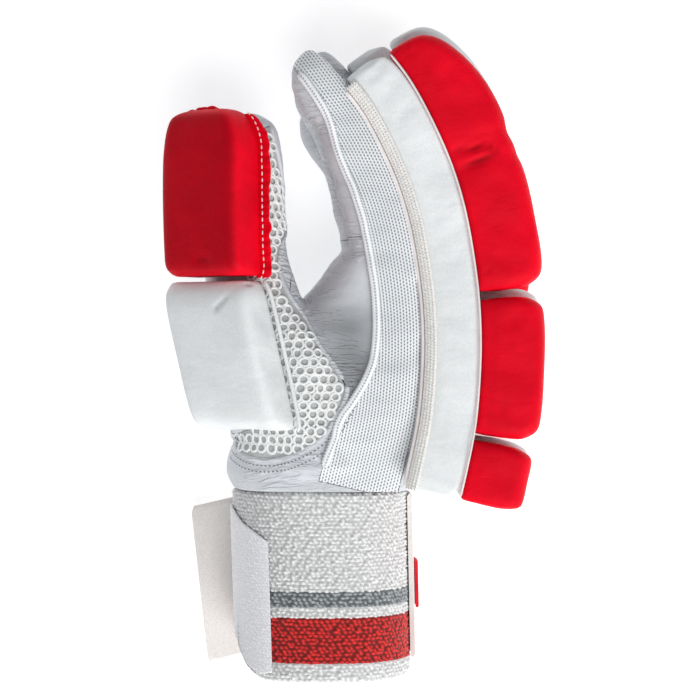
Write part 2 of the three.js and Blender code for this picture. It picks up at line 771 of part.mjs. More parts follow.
function handOutline(rows) {
  return rows.map(({ up, back }) => new THREE.Vector2((back * CUFF_DEPTH) / 2, upHand(up)));
}

// Lower end of a knitted side panel, where the hand narrows to the wristband
function wristOutline(finger) {
  const rows = knitSideRows.filter(({ along }) => along < NARROW_SHARE);
  const outline = alongSeam(finger.line, rows.map(({ along, wide }) => ({ along, depth: wide * KNIT_SIDE_WIDTH })));
  return outline.map((point, k) => (k < rows.length ? underSeam(finger.line, rows[k].along) : point));
}

// Place on a seam, pushed through the wall under it
function underSeam(line, along) {
  const { point, outward } = stationOn(line, along);
  const depth = PALM_SINK + 2 * LEATHER;
  return new THREE.Vector2(point.x - outward.x * depth, point.z - outward.z * depth);
}

// Pieces of the hollow hand: each one takes what its cutters hold, and the next one starts a
// gap away
function cutHand() {
  const wide = HAND_WIDTH;
  const indexCentre = fingerCentre(indexFinger, 0);
  const littleCentre = fingerCentre(littleFinger, 0);
  const inwards = (HAND_WIDTH - CUFF_WIDTH) / 2 + CUFF_SHIFT;
  const backRows = knitSideRows.map(({ along }) => ({ along, depth: BACK_SEAM_DEPTH }));
  const cuts = [
    ['index_gusset', [
      { outline: knitSideOutline(indexFinger), from: -wide, to: indexCentre },
      { outline: wristOutline(indexFinger), from: -wide, to: indexCentre + inwards },
    ]],
    ['little_gusset', [
      { outline: knitSideOutline(littleFinger), from: littleCentre, to: wide },
      { outline: wristOutline(littleFinger), from: littleCentre - inwards, to: wide },
    ]],
    ['thumb_mesh', [{ outline: handOutline(thumbMeshRows), from: -wide, to: MESH_INNER_SIDE }]],
    ['thumb', [{ outline: handOutline(thumbRegionRows), from: -wide, to: THUMB_INNER_SIDE }]],
    ['fingers', [{ outline: handOutline(fingerRegionRows), from: -wide, to: wide }]],
    ['hand_back', [{ outline: alongSeam(indexFinger.line, backRows), from: -wide, to: wide }]],
  ];
  const cutter = (blocks, margin) => blocks
    .map(({ outline, from, to }) => prism(grownOutline(outline, margin), from - margin, to + margin))
    .reduce((whole, block) => whole.add(block));
  const found = {};
  let rest = hollowHand();
  cuts.forEach(([name, blocks]) => {
    found[name] = rest.intersect(cutter(blocks, 0));
    rest = rest.subtract(cutter(blocks, GAP));
  });
  found.palm = rest;
  return found;
}

const colours = {
  red: { color: 0xd0161f, roughness: 0.42 },
  white: { color: 0xf1f1ef, roughness: 0.5 },
  leather: { color: 0xdfe0e2, roughness: 0.7 },
  knit: { color: 0xe6e7e8, roughness: 0.9 },
  towelling: { color: 0xeceae6, roughness: 0.95 },
  velour: { color: 0xe9dfca, roughness: 0.95 },
};
const materials = Object.fromEntries(Object.entries(colours).map(([name, look]) => (
  [name, new THREE.MeshStandardMaterial({ name, metalness: 0, ...look })]
)));

const glove = new THREE.Group();
const upright = new THREE.Group();
glove.add(upright);

function addPiece(name, geometry, material) {
  geometry.computeVertexNormals();
  const mesh = new THREE.Mesh(geometry, materials[material]);
  mesh.name = name;
  upright.add(mesh);
}

const pieces = cutHand();
addPiece('palm', geometryOf(largest(pieces.palm)), 'leather');
addPiece('hand_back', geometryOf(largest(pieces.hand_back)), 'leather');
addPiece('index_gusset', geometryOf(largest(pieces.index_gusset)), 'knit');
addPiece('little_gusset', geometryOf(largest(pieces.little_gusset)), 'knit');
addPiece('thumb', geometryOf(largest(pieces.thumb)), 'leather');
addPiece('thumb_mesh', geometryOf(largest(pieces.thumb_mesh)), 'knit');

const shells = pieces.fingers.decompose().sort((a, b) => b.volume() - a.volume()).slice(0, fingers.length);
const middleOf = (solid) => {
  const { min, max } = solid.boundingBox();
  return (min[1] + max[1]) / 2;
};
shells.sort((a, b) => middleOf(a) - middleOf(b));
fingers.forEach((finger, k) => addPiece(`${finger.name}_finger`, geometryOf(shells[k]), 'leather'));

fingers.forEach((finger) => {
  const bar = backPad(finger, barSpan.from, barSpan.to, 0, BAR_THICKNESS, BAR_CORNER, barRows);
  addPiece(`${finger.name}_bar`, bar, 'white');
  rollRows.forEach(({ name, from, to, thick, rows }) => {
    const seat = BAR_THICKNESS * PAD_CROWN_SHARE + SEAT_GAP;
    const roll = backPad(finger, from, to, seat, ROLL_THICKNESS * thick, ROLL_CORNER, rows);
    addPiece(`${finger.name}_${name}`, roll, finger.colour);
  });
});

const tipPad = thumbPad(THUMB_TIP_PAD_ROOT, THUMB_TIP_PAD_LENGTH, THUMB_TIP_PAD_WIDTH, thumbTipPadRows);
const basePad = thumbPad(THUMB_BASE_PAD_ROOT, THUMB_BASE_PAD_LENGTH, THUMB_BASE_PAD_WIDTH, thumbBasePadRows);
addPiece('thumb_tip_pad', tipPad, 'red');
addPiece('thumb_base_pad', basePad, 'white');
addPiece('wristband', cuffWall(), 'towelling');
addPiece('loop_panel', loopPanel(), 'velour');
addPiece('strap', strap(), 'velour');
addPiece('strap_patch', strapPatch(), 'red');

// Lay the glove on its little finger side, its lowest point on the ground and its middle
// over the origin
upright.rotation.x = -Math.PI / 2;
glove.updateMatrixWorld(true);
const box = new THREE.Box3().setFromObject(glove, true);
const middle = box.getCenter(new THREE.Vector3());
upright.position.set(-middle.x, -middle.y, -box.min.z);
glove.updateMatrixWorld(true);

export default glove;
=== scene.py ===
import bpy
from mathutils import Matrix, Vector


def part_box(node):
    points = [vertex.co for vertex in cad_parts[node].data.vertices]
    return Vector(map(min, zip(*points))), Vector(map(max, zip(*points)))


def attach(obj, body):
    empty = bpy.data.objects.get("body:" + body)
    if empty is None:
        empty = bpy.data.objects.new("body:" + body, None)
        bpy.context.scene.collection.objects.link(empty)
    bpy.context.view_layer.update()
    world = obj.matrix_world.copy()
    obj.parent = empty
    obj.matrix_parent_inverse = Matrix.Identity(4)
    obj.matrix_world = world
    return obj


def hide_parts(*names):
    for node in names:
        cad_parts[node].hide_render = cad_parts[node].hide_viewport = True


bl_info = {
    "name": "Batting glove",
    "version": (1, 0, 0),
    "blender": (4, 5, 0),
    "location": "3D View > Sidebar > Glove",
    "description": "Dresses the packed frame of a padded batting glove",
    "category": "Add Mesh",
}

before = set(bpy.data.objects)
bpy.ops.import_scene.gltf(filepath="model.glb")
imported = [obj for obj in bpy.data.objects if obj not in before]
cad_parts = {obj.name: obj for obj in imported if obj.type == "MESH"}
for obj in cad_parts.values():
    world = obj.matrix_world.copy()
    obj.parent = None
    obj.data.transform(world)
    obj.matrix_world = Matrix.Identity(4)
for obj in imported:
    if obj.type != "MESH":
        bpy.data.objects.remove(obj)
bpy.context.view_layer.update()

from bisect import bisect_right
from collections import namedtuple
import math

import bpy
import numpy as np
from mathutils import Vector, noise
from mathutils.bvhtree import BVHTree

# The glove is worked out upright, in millimetres: x runs from the palm to the back of the
# hand, y from the thumb side to the little finger side, and z from the cuff to the fingertips.
HAND_LENGTH = 175
FINGER_CURL = 27
FINGER_PITCH = 24
FINGER_GAP = 1.2
PALM_INSIDE_FINGERS = 0.4
FINGER_DEPTH = 31
FINGER_SPREAD = 2
FINGERTIP = 21
LEATHER = 2
KNIT_SIDE_WIDTH = 24
BACK_SEAM_DEPTH = 9
KNUCKLES_SHARE = 0.42

CUFF_HEIGHT = 81
CUFF_DEPTH = 76.4
CUFF_WIDTH = 76
CUFF_WALL = 2.5
CUFF_SHIFT = 4
LOOP_PANEL_HEIGHT = 71
LOOP_PANEL_ROOT = 3
LOOP_PANEL_WALL = 1.2
STRAP_WIDTH = 72
STRAP_TAIL = 49.5
STRAP_WALL = 2
STRAP_DROOP = 8
STRAP_TOP_CLEARANCE = 2
PATCH_WIDTH = 21
PATCH_DROP = 4
PATCH_WALL = 1.5

THUMB_LENGTH = 152
THUMB_WIDTH = 60
THUMB_DEPTH = 34
THUMB_REACH = 32.5
THUMB_SIDE = 28
THUMB_TURN = math.radians(35)
THUMB_ROOT = 10
THUMB_PAD_EDGE = 20
THUMB_PAD_WALL = 20

BAR_THICKNESS = 20
ROLL_THICKNESS = 28
ROLL_GAP = 1
ROLL_CORNER = 7
BAR_CORNER = 4
EDGE_ROUND = 1.3
FOOT_LEAN = 1.3
PAD_CROWN_SHARE = 1.02
PURE_WHITE = (1, 1, 1, 1)
GAP = 0.3
SEAT_GAP = 0.6
PALM_SINK = 1.2
HOLLOW_AT = 12
# Painted shade: the leather is painted darker in the hollow between the thumb and the palm, round this line.
HOLLOW_TOP = 150
HOLLOW_LENGTH = 20
HOLLOW_ROUND = 14
HOLLOW_LEAN = 3
HOLLOW_PAINTED_SHADE = 0.9
SEAM_OUTSIDE = 6

STRAP_LOW_EDGE_SHARE = 0.89
STRAP_THREAD_OFF = STRAP_WALL + 0.1
MOUTH_ROUND = 15
MOUTH_REACH = 40
CLOTH_FRAMES = 20
SOFT = math.radians(180)

CAMERA_PLACE = (-0.00113, 0.00108, 0.9975)
CAMERA_LENS = 110.8
SENSOR_WIDTH = 36
FLOOR_REACH = 3.0
FLOOR_COLOUR = (0.9, 0.9, 0.9)
FLOOR_GLOW = 0.5
SURROUND_COLOUR = (0.93, 0.96, 1, 1)
SURROUND_STRENGTH = 0.38
Light = namedtuple("Light", "name place spread strength")
LIGHTS = [
    Light("key", (0.75, -1.0, 0.75), 35, 1.8),
    Light("above", (0.1, -0.45, 1.0), 25, 1.1),
]


def table_of(kind, rows):
    """Rows of a table, whose columns have the kind's names."""
    return [kind(*row) for row in rows]


Seam = namedtuple("Seam", "up back")
BACK_SEAM_ROWS = table_of(Seam, [
    (0, 0), (0.085, 0.13), (0.18, 0.25), (0.276, 0.31), (0.37, 0.33), (0.468, 0.3), (0.563, 0.22),
    (0.66, 0.1), (0.743, -0.06), (0.827, -0.29), (0.93, -0.65), (1, -1),
])

Finger = namedtuple("Finger", "name across reach depth tip spread colour")
FINGERS = [
    Finger("index", -1.5, 1, 0.94, 1, -1, "red_cover"),
    Finger("middle", -0.5, 1.085, 1.08, 0.6, -0.3, "white_cover"),
    Finger("ring", 0.5, 1.02, 1, 0.9, 0, "white_cover"),
    Finger("little", 1.5, 0.88, 0.87, 0.9, 0, "red_cover"),
]
HAND_WIDTH = len(FINGERS) * FINGER_PITCH - FINGER_GAP - PALM_INSIDE_FINGERS
LOWEST_SIDE = FINGERS[-1].across * FINGER_PITCH + (FINGER_PITCH - ROLL_GAP) / 2

Shaft = namedtuple("Shaft", "along deep")
SHAFT_ROWS = table_of(Shaft, [
    (0.5, 1), (0.67, 1), (0.74, 0.97), (0.81, 0.92), (0.88, 0.85), (0.945, 0.8), (1, 0.76),
])
Tip = namedtuple("Tip", "past deep wide lift")
TIP_ROWS = table_of(Tip, [
    (0, 0.76, 1, 0), (0.35, 0.7, 0.95, 0.02), (0.7, 0.56, 0.78, 0.05), (0.92, 0.34, 0.5, 0.1),
    (1, 0.14, 0.2, 0.14),
])

Palm = namedtuple("Palm", "up deep flare")
PALM_ROWS = table_of(Palm, [
    (0, 1, 0), (0.051, 1.07, 0.22), (0.12, 1.05, 0.6), (0.189, 0.96, 0.87), (0.263, 0.85, 1),
    (0.349, 0.776, 1), (0.434, 0.743, 1), (0.48, 0.69, 1), (0.525, 0.58, 1), (0.577, 0.48, 1),
    (0.605, 0.38, 0.98),
])

Thumb = namedtuple("Thumb", "along out side wide deep")
THUMB_ROWS = table_of(Thumb, [
    (0, 0.246, 0.857, 0.867, 0.94), (0.105, 0.43, 0.9, 0.9, 1), (0.21, 0.615, 0.964, 0.967, 0.97),
    (0.316, 0.646, 0.98, 1, 0.91), (0.401, 0.785, 1, 0.867, 0.85), (0.487, 0.892, 1, 0.75, 0.82),
    (0.586, 0.97, 1, 0.633, 0.79), (0.704, 1, 1, 0.583, 0.79), (0.829, 0.985, 1, 0.55, 0.765),
    (0.914, 0.97, 1, 0.5, 0.706), (0.967, 0.954, 1, 0.367, 0.53), (1, 0.954, 1, 0.133, 0.235),
])

Pad = namedtuple("Pad", "along rise wide")
BAR_ROWS = table_of(Pad, [
    (0, 0.78, 0.88), (0.02, 0.96, 0.97), (0.06, 1, 1), (0.5, 1, 1), (0.92, 1, 1),
    (0.985, 0.9, 0.93), (1, 0.6, 0.75),
])
FINGER_ROLL_ROWS = table_of(Pad, [
    (0, 0.72, 0.8), (0.03, 0.93, 0.95), (0.09, 1, 1), (0.25, 1, 1), (0.44, 1, 1),
    (0.47, 0.96, 0.93), (0.51, 1, 1), (0.545, 0.96, 0.93), (0.58, 1, 1), (0.7, 1, 1),
    (0.8, 0.94, 1), (0.88, 0.83, 0.98), (0.945, 0.67, 0.93), (0.985, 0.48, 0.84), (1, 0.25, 0.6),
])
SHORT_ROLL_ROWS = table_of(Pad, [
    (0, 0.75, 0.82), (0.05, 0.95, 0.96), (0.14, 1, 1), (0.5, 1, 1), (0.86, 1, 1),
    (0.95, 0.95, 0.96), (1, 0.75, 0.82),
])
THUMB_TIP_PAD_ROWS = table_of(Pad, [
    (0, 0.78, 0.92), (0.04, 0.95, 0.99), (0.13, 1, 1), (0.7, 1, 1), (0.82, 0.99, 0.96),
    (0.91, 0.95, 0.87), (0.97, 0.85, 0.74), (1, 0.6, 0.56),
])
THUMB_BASE_PAD_ROWS = table_of(Pad, [
    (0, 0.6, 0.93), (0.05, 0.85, 0.99), (0.2, 0.97, 1), (0.45, 1, 1), (0.7, 1, 1), (0.82, 0.97, 1),
    (0.92, 0.88, 0.99), (1, 0.66, 0.93),
])

Block = namedtuple("Block", "name start end seat thickness corner rows slot")
ROLL_SEAT = BAR_THICKNESS * PAD_CROWN_SHARE + SEAT_GAP
BACK_BLOCKS = [
    Block("bar", 0.012, 1.005, 0, BAR_THICKNESS, BAR_CORNER, BAR_ROWS, "white_cover"),
    Block("back_roll", 0.012, 0.152, ROLL_SEAT, ROLL_THICKNESS * 0.93, ROLL_CORNER,
          SHORT_ROLL_ROWS, None),
    Block("knuckle_roll", 0.16, 0.445, ROLL_SEAT, ROLL_THICKNESS * 0.96, ROLL_CORNER,
          SHORT_ROLL_ROWS, None),
    Block("finger_roll", 0.455, 0.99, ROLL_SEAT, ROLL_THICKNESS, ROLL_CORNER, FINGER_ROLL_ROWS, None),
]
ThumbBlock = namedtuple("ThumbBlock", "name root length width rows slot slide")
THUMB_BLOCKS = [
    ThumbBlock("thumb_tip_pad", 81, 71.5, 42, THUMB_TIP_PAD_ROWS, "red_cover", 3.2),
    ThumbBlock("thumb_base_pad", 16.5, 63.9, 46, THUMB_BASE_PAD_ROWS, "white_cover", 0),
]

Cuff = namedtuple("Cuff", "up lean girth")
CUFF_ROWS = [Cuff(0, 0.018, 0.985), Cuff(0.04, 0.017, 1), Cuff(1, -0.01, 1.01)]
CUFF_SIDES = 32
CUFF_SQUARENESS = 2.4

Loop = namedtuple("Loop", "side low high")
LOOP_PANEL_ROWS = table_of(Loop, [
    (12.5, 0.1, 0.92), (13, 0.02, 1), (14, 0, 1), (16, 0, 1), (17, 0, 0.99), (18, 0, 0.96),
    (19, 0, 0.91), (20, 0, 0.87), (20.6, 0, 0.84), (21.3, 0.02, 0.8),
])
Tail = namedtuple("Tail", "along droop turn")
TAIL_ROWS = table_of(Tail, [
    (0.12, 0.02, 2), (0.35, 0.25, 4), (0.65, 0.6, 5), (0.94, 1, 4), (1, 1.05, 4),
])

Knit = namedtuple("Knit", "along wide")
KNIT_SIDE_ROWS = table_of(Knit, [
    (-0.02, 1.62), (0.08, 1.58), (0.155, 1.48), (0.22, 1.28), (0.29, 1.07), (0.36, 1), (0.45, 0.97),
    (0.6, 0.95), (0.75, 0.92), (0.85, 0.88), (0.93, 0.75), (1, 0.65), (1.13, 0.6),
])
MESH_OUTLINE = table_of(Seam, [
    (0.89, -0.57), (0.804, -0.469), (0.737, -0.424), (0.673, -0.327), (0.61, -0.44),
    (0.543, -0.469), (0.483, -0.364), (0.422, -0.175), (0.36, -0.031), (0.298, 0.178),
    (0.253, 0.275), (0.193, 0.165), (0.141, 0.003), (0.109, -0.217), (0.088, -0.49), (0.09, -0.764),
    (0.109, -0.927), (0.141, -1.005), (0.154, -0.785), (0.189, -0.576), (0.263, -0.524),
    (0.406, -0.628), (0.52, -0.785), (0.691, -0.785), (0.863, -0.733),
])
THUMB_OUTLINE = table_of(Seam, [
    (0.143, -2), (0.143, 0.02), (0.253, 0.3), (0.298, 0.2), (0.36, -0.02), (0.422, -0.165),
    (0.483, -0.34), (0.6, -0.3), (0.67, -0.32), (0.73, -0.445), (1.05, -0.445), (1.05, -2),
])
FINGER_OUTLINE = [Seam(0.62, -0.62), Seam(0.62, 2.4), Seam(1.3, 2.4), Seam(1.3, -0.62)]


# Curves, tables and lofts

def up_hand(share):
    """Height of a share of the hand's length above the wristband."""
    return CUFF_HEIGHT + share * HAND_LENGTH


def read_table(rows, column, place):
    """Value of a column at a place along the first one, on a smooth curve through the rows."""
    keys = [row[0] for row in rows]
    values = [getattr(row, column) for row in rows]
    if place <= keys[0]:
        return values[0]
    if place >= keys[-1]:
        return values[-1]
    low = bisect_right(keys, place) - 1
    span = keys[low + 1] - keys[low]
    t = (place - keys[low]) / span

    def slope(at):
        before = max(at - 1, 0)
        after = min(at + 1, len(rows) - 1)
        return (values[after] - values[before]) / (keys[after] - keys[before])

    ease = t * t * (3 - 2 * t)
    start = t * (1 - t) * (1 - t) * slope(low) * span
    end = t * t * (1 - t) * slope(low + 1) * span
    return values[low] + (values[low + 1] - values[low]) * ease + start - end


def smooth_line(points, steps):
    """Centripetal curve through the points, with that many steps between two of them."""
    points = np.asarray(points, float)
    run = [2 * points[0] - points[1], *points, 2 * points[-1] - points[-2]]
    found = []
    for before, start, end, after in zip(run, run[1:], run[2:], run[3:]):
        gaps = [np.linalg.norm(b - a) ** 0.5 for a, b in ((before, start), (start, end), (end, after))]
        lead = (start - before) / gaps[0] - (end - before) / (gaps[0] + gaps[1]) + (end - start) / gaps[1]
        trail = (end - start) / gaps[1] - (after - start) / (gaps[1] + gaps[2]) + (after - end) / gaps[2]
        lead, trail = lead * gaps[1], trail * gaps[1]
        for t in np.arange(steps) / steps:
            square = 3 * (end - start) - 2 * lead - trail
            cube = 2 * (start - end) + lead + trail
            found.append(start + lead * t + square * t * t + cube * t ** 3)
    found.append(points[-1])
    return np.array(found)


def travel(points):
    """Length along a line at each of its points."""
    steps = np.linalg.norm(np.diff(points, axis=0), axis=1)
    return np.concatenate([[0], np.cumsum(steps)])


def unit(vectors):
    """The same directions, each with a length of one."""
    return vectors / np.linalg.norm(vectors, axis=1)[:, None]


def directions(points):
    """Direction along a line at each of its points."""
    return unit(np.gradient(np.asarray(points, float), axis=0))


def spaced(points, spacing):
    """The same line with its points at an even spacing."""
    points = np.asarray(points, float)
    lengths = travel(points)
    count = max(int(round(lengths[-1] / spacing)), 2)
    places = np.linspace(0, lengths[-1], count + 1)
    return np.stack([np.interp(places, lengths, points[:, k]) for k in range(points.shape[1])], axis=1)


class SeamLine:
    """Seam where a finger's knitted side meets its padding, in the x and z plane."""

    def __init__(self, finger):
        points = []
        for row in BACK_SEAM_ROWS:
            past = max(row.up - KNUCKLES_SHARE, 0)
            height = up_hand(row.up + past * (finger.reach - 1))
            points.append((CUFF_DEPTH / 2 + row.back * FINGER_CURL, height))
        self.places = smooth_line(points, 20)
        self.lengths = travel(self.places)
        self.length = self.lengths[-1]

    def at(self, along):
        """Point, and the direction out of the hand's back, also past the seam's ends."""
        inside = min(max(along, 0.002), 0.998)
        spot, before, after = (
            np.array([np.interp(place * self.length, self.lengths, self.places[:, k]) for k in (0, 1)])
            for place in (inside, inside - 0.002, inside + 0.002)
        )
        forward = (after - before) / np.linalg.norm(after - before)
        spot = spot + forward * (along - inside) * self.length
        return spot, np.array([forward[1], -forward[0]]), forward


SEAM_LINES = {finger.name: SeamLine(finger) for finger in FINGERS}


def finger_centre(finger, along):
    """Place of a finger's middle across the hand, where the fingers spread a little."""
    t = min(max((along - 0.4) / 0.6, 0), 1)
    return finger.across * FINGER_PITCH + finger.spread * FINGER_SPREAD * t * t * (3 - 2 * t)


def oval(half_x, half_y, power, sides, back_power=None):
    """Rounded square, which may be squarer on its half towards the back of the hand."""
    angle = 2 * math.pi * np.arange(sides) / sides
    exponent = 2 / np.where(np.cos(angle) > 0, back_power or power, power)
    x = half_x * np.sign(np.cos(angle)) * np.abs(np.cos(angle)) ** exponent
    y = half_y * np.sign(np.sin(angle)) * np.abs(np.sin(angle)) ** exponent
    return x, y


def facing_out(points, faces):
    """Faces turned outwards, by the sign of the volume that they enclose."""
    points = np.asarray(points)
    volume = 0
    for face in faces:
        first = points[face[0]]
        for k in range(1, len(face) - 1):
            volume += np.dot(first, np.cross(points[face[k]], points[face[k + 1]]))
    return faces if volume > 0 else [face[::-1] for face in faces]


def loft(rings):
    """Closed body from rings of as many points each, with a fan over both ends."""
    rings = np.asarray(rings)
    rows, count = rings.shape[:2]
    points = np.concatenate([rings.reshape(-1, 3), [rings[0].mean(axis=0)], [rings[-1].mean(axis=0)]])
    faces = []
    for row in range(rows - 1):
        for k in range(count):
            here, beside = row * count + k, row * count + (k + 1) % count
            faces.append((here, beside, beside + count, here + count))
    for k in range(count):
        beside = (k + 1) % count
        faces.append((rows * count, beside, k))
        faces.append((rows * count + 1, (rows - 1) * count + k, (rows - 1) * count + beside))
    return points, facing_out(points, faces)


def tube_wall(outer, inner):
    """Closed wall between two lists of rings, open along its middle."""
    rings = np.concatenate([outer, inner[::-1]])
    rows, count = rings.shape[:2]
    faces = []
    for row in range(rows):
        above = (row + 1) % rows
        for k in range(count):
            beside = (k + 1) % count
            faces.append((row * count + k, row * count + beside, above * count + beside, above * count + k))
    points = rings.reshape(-1, 3)
    return points, facing_out(points, faces)


# From the hand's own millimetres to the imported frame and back

def cuff_places(angle, off, up):
    """Points on the wristband's outline at an angle and a height, a distance off its outside."""
    girth = np.interp(up, [row.up for row in CUFF_ROWS], [row.girth for row in CUFF_ROWS])
    lean = np.interp(up, [row.up for row in CUFF_ROWS], [row.lean for row in CUFF_ROWS]) * CUFF_DEPTH
    half_x, half_y = CUFF_DEPTH / 2 * girth, CUFF_WIDTH / 2 * girth
    bend = lambda value, power: np.sign(value) * np.abs(value) ** power
    across = bend(np.cos(angle), 2 / CUFF_SQUARENESS)
    along = bend(np.sin(angle), 2 / CUFF_SQUARENESS)
    out_x = bend(across, CUFF_SQUARENESS - 1) / half_x
    out_y = bend(along, CUFF_SQUARENESS - 1) / half_y
    size = np.hypot(out_x, out_y)
    out = np.stack([out_x / size, out_y / size, np.zeros_like(size)], axis=-1)
    place = np.stack([lean + half_x * across, CUFF_SHIFT + half_y * along, up * CUFF_HEIGHT], axis=-1)
    return place + out * np.asarray(off)[..., None], out


def palmward_end(up):
    """The wristband's outermost place on its palm side, at a share of its height."""
    return cuff_places(np.array([math.pi]), np.array([0.0]), np.array([up]))[0][0, 0]


MOUTH_EDGE = palmward_end(0.0)
FRAME_SHIFT = np.array([
    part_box("wristband")[0][0] * 1000 - palmward_end(1.0),
    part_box("wristband")[0][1] * 1000,
    LOWEST_SIDE,
])


def to_frame(points):
    """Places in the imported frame, in metres, of points in the hand's millimetres."""
    points = np.asarray(points, float)
    x = points[..., 0] + FRAME_SHIFT[0]
    y = points[..., 2] + FRAME_SHIFT[1]
    z = FRAME_SHIFT[2] - points[..., 1]
    return np.stack([x, y, z], axis=-1) / 1000


def to_hand(points):
    """Points in the hand's millimetres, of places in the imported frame."""
    points = np.asarray(points, float) * 1000
    x = points[..., 0] - FRAME_SHIFT[0]
    y = FRAME_SHIFT[2] - points[..., 2]
    z = points[..., 1] - FRAME_SHIFT[1]
    return np.stack([x, y, z], axis=-1)


# Blender objects

def new_object(name, points, faces, edges=()):
    """Object whose mesh has points in the hand's millimetres."""
    mesh = bpy.data.meshes.new(name)
    places = [tuple(point) for point in to_frame(points)]
    mesh.from_pydata(places, list(edges), [tuple(face) for face in faces])
    mesh.update()
    obj = bpy.data.objects.new(name, mesh)
    bpy.context.scene.collection.objects.link(obj)
    return obj


def bake(obj):
    """Puts the result of the object's modifiers into its mesh."""
    graph = bpy.context.evaluated_depsgraph_get()
    mesh = bpy.data.meshes.new_from_object(obj.evaluated_get(graph))
    obj.modifiers.clear()
    old = obj.data
    obj.data = mesh
    mesh.name = old.name
    bpy.data.meshes.remove(old)
    return obj


def remove(*objects):
    for obj in objects:
        mesh = obj.data
        bpy.data.objects.remove(obj)
        bpy.data.meshes.remove(mesh)


def boolean(obj, other, operation):
    """Cuts, joins or keeps what an object shares with another one."""
    modifier = obj.modifiers.new("Cut", "BOOLEAN")
    modifier.solver = "MANIFOLD"
    modifier.operation = operation
    modifier.object = other
    return bake(obj)


def copy_of(obj):
    twin = bpy.data.objects.new(obj.name, obj.data.copy())
    bpy.context.scene.collection.objects.link(twin)
    return twin


def mesh_points(obj):
    """The mesh's points in the hand's millimetres."""
    found = np.empty(len(obj.data.vertices) * 3)
    obj.data.vertices.foreach_get("co", found)
    return to_hand(found.reshape(-1, 3))


def set_points(obj, points):
    obj.data.vertices.foreach_set("co", to_frame(points).ravel())
    obj.data.update()


def mesh_normals(obj):
    found = np.empty(len(obj.data.vertices) * 3)
    obj.data.vertices.foreach_get("normal", found)
    found = found.reshape(-1, 3)
    return np.stack([found[:, 0], -found[:, 2], found[:, 1]], axis=1)


def set_uv(obj, places):
    """UV map in millimetres, from one pair of numbers for each of the mesh's points."""
    layer = obj.data.uv_layers.new(name="pattern")
    corners = np.empty(len(obj.data.loops), int)
    obj.data.loops.foreach_get("vertex_index", corners)
    layer.data.foreach_set("uv", np.asarray(places, float)[corners].ravel())


def set_share(obj, name, values):
    """One number for each of the mesh's points, for its material to read."""
    layer = obj.data.attributes.new(name, "FLOAT", "POINT")
    layer.data.foreach_set("value", np.asarray(values, float))


def finish_piece(obj, material, slot, *nodes, sharp=math.radians(40)):
    """Material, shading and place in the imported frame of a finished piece."""
    obj.data.materials.clear()
    obj.data.materials.append(material)
    obj.data.shade_smooth()
    obj.data.set_sharp_from_angle(angle=sharp)
    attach(obj, "root")
    if nodes:
        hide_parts(*nodes)
    return obj


# Materials

def node(tree, kind, inputs=None, **settings):
    """Node with its settings and inputs, each a value or another node's output."""
    made = tree.nodes.new(kind)
    for name, value in settings.items():
        setattr(made, name, value)
    for key, value in (inputs or {}).items():
        socket = made.inputs[key]
        if isinstance(value, bpy.types.NodeSocket):
            tree.links.new(value, socket)
        else:
            socket.default_value = value
    return made


def math_of(tree, operation, *values):
    """Result of a sum on numbers or other nodes' outputs."""
    return node(tree, "ShaderNodeMath", dict(enumerate(values)), operation=operation).outputs[0]


def blend_of(tree, share, low, high, blend_type="MIX"):
    """Colour between two, by a share."""
    inputs = {0: share, 6: low, 7: high}
    return node(tree, "ShaderNodeMix", inputs, data_type="RGBA", blend_type=blend_type).outputs[2]


def ramp_of(tree, value, low, high):
    """Value from nought to one between two limits, with soft ends."""
    inputs = {0: value, 1: low, 2: high, 3: 0.0, 4: 1.0}
    return node(tree, "ShaderNodeMapRange", inputs, interpolation_type="SMOOTHSTEP").outputs[0]


def noise_of(tree, place, scale, detail=3.0, roughness=0.5, distortion=0.0):
    """Cloudy value from nought to one."""
    inputs = {"Vector": place, "Scale": scale, "Detail": detail, "Roughness": roughness}
    inputs["Distortion"] = distortion
    return node(tree, "ShaderNodeTexNoise", inputs).outputs[0]


def stretched(tree, place, scale, turn=(0, 0, 0)):
    """Coordinates scaled by a number along each axis, and turned."""
    inputs = {"Vector": place, "Scale": scale, "Rotation": turn}
    return node(tree, "ShaderNodeMapping", inputs).outputs[0]


def share_of(tree, name):
    """The number that a piece's points carry under a name."""
    return node(tree, "ShaderNodeAttribute", attribute_name=name).outputs["Fac"]


def bump_of(tree, height, distance, strength, below=None):
    """Relief of a height in metres, on top of another relief."""
    inputs = {"Height": height, "Distance": distance, "Strength": strength}
    if below is not None:
        inputs["Normal"] = below
    return node(tree, "ShaderNodeBump", inputs).outputs[0]


def new_material(name, colour, roughness, sheen=0.0, sheen_roughness=0.5, specular=0.5):
    """Material with its shader, and its tree and object coordinates to build on."""
    material = bpy.data.materials.new(name)
    material.use_nodes = True
    material.diffuse_color = (*colour[:3], 1)
    tree = material.node_tree
    shader = tree.nodes["Principled BSDF"]
    shader.inputs["Base Color"].default_value = (*colour[:3], 1)
    shader.inputs["Roughness"].default_value = roughness
    shader.inputs["Sheen Weight"].default_value = sheen
    shader.inputs["Sheen Roughness"].default_value = sheen_roughness
    shader.inputs["Specular IOR Level"].default_value = specular
    place = node(tree, "ShaderNodeTexCoord").outputs["Object"]
    return material, tree, shader, place


def shade(colour, amount):
    """A colour made darker or lighter by a factor."""
    return (*(min(value * amount, 1) for value in colour[:3]), 1)


def paint(tree, shader, tone, share, dark):
    """Gives the shader its colour, which is darker where a share is low."""
    fine = blend_of(tree, share, shade(PURE_WHITE, dark), PURE_WHITE)
    tree.links.new(blend_of(tree, 1.0, tone, fine, "MULTIPLY"), shader.inputs["Base Color"])


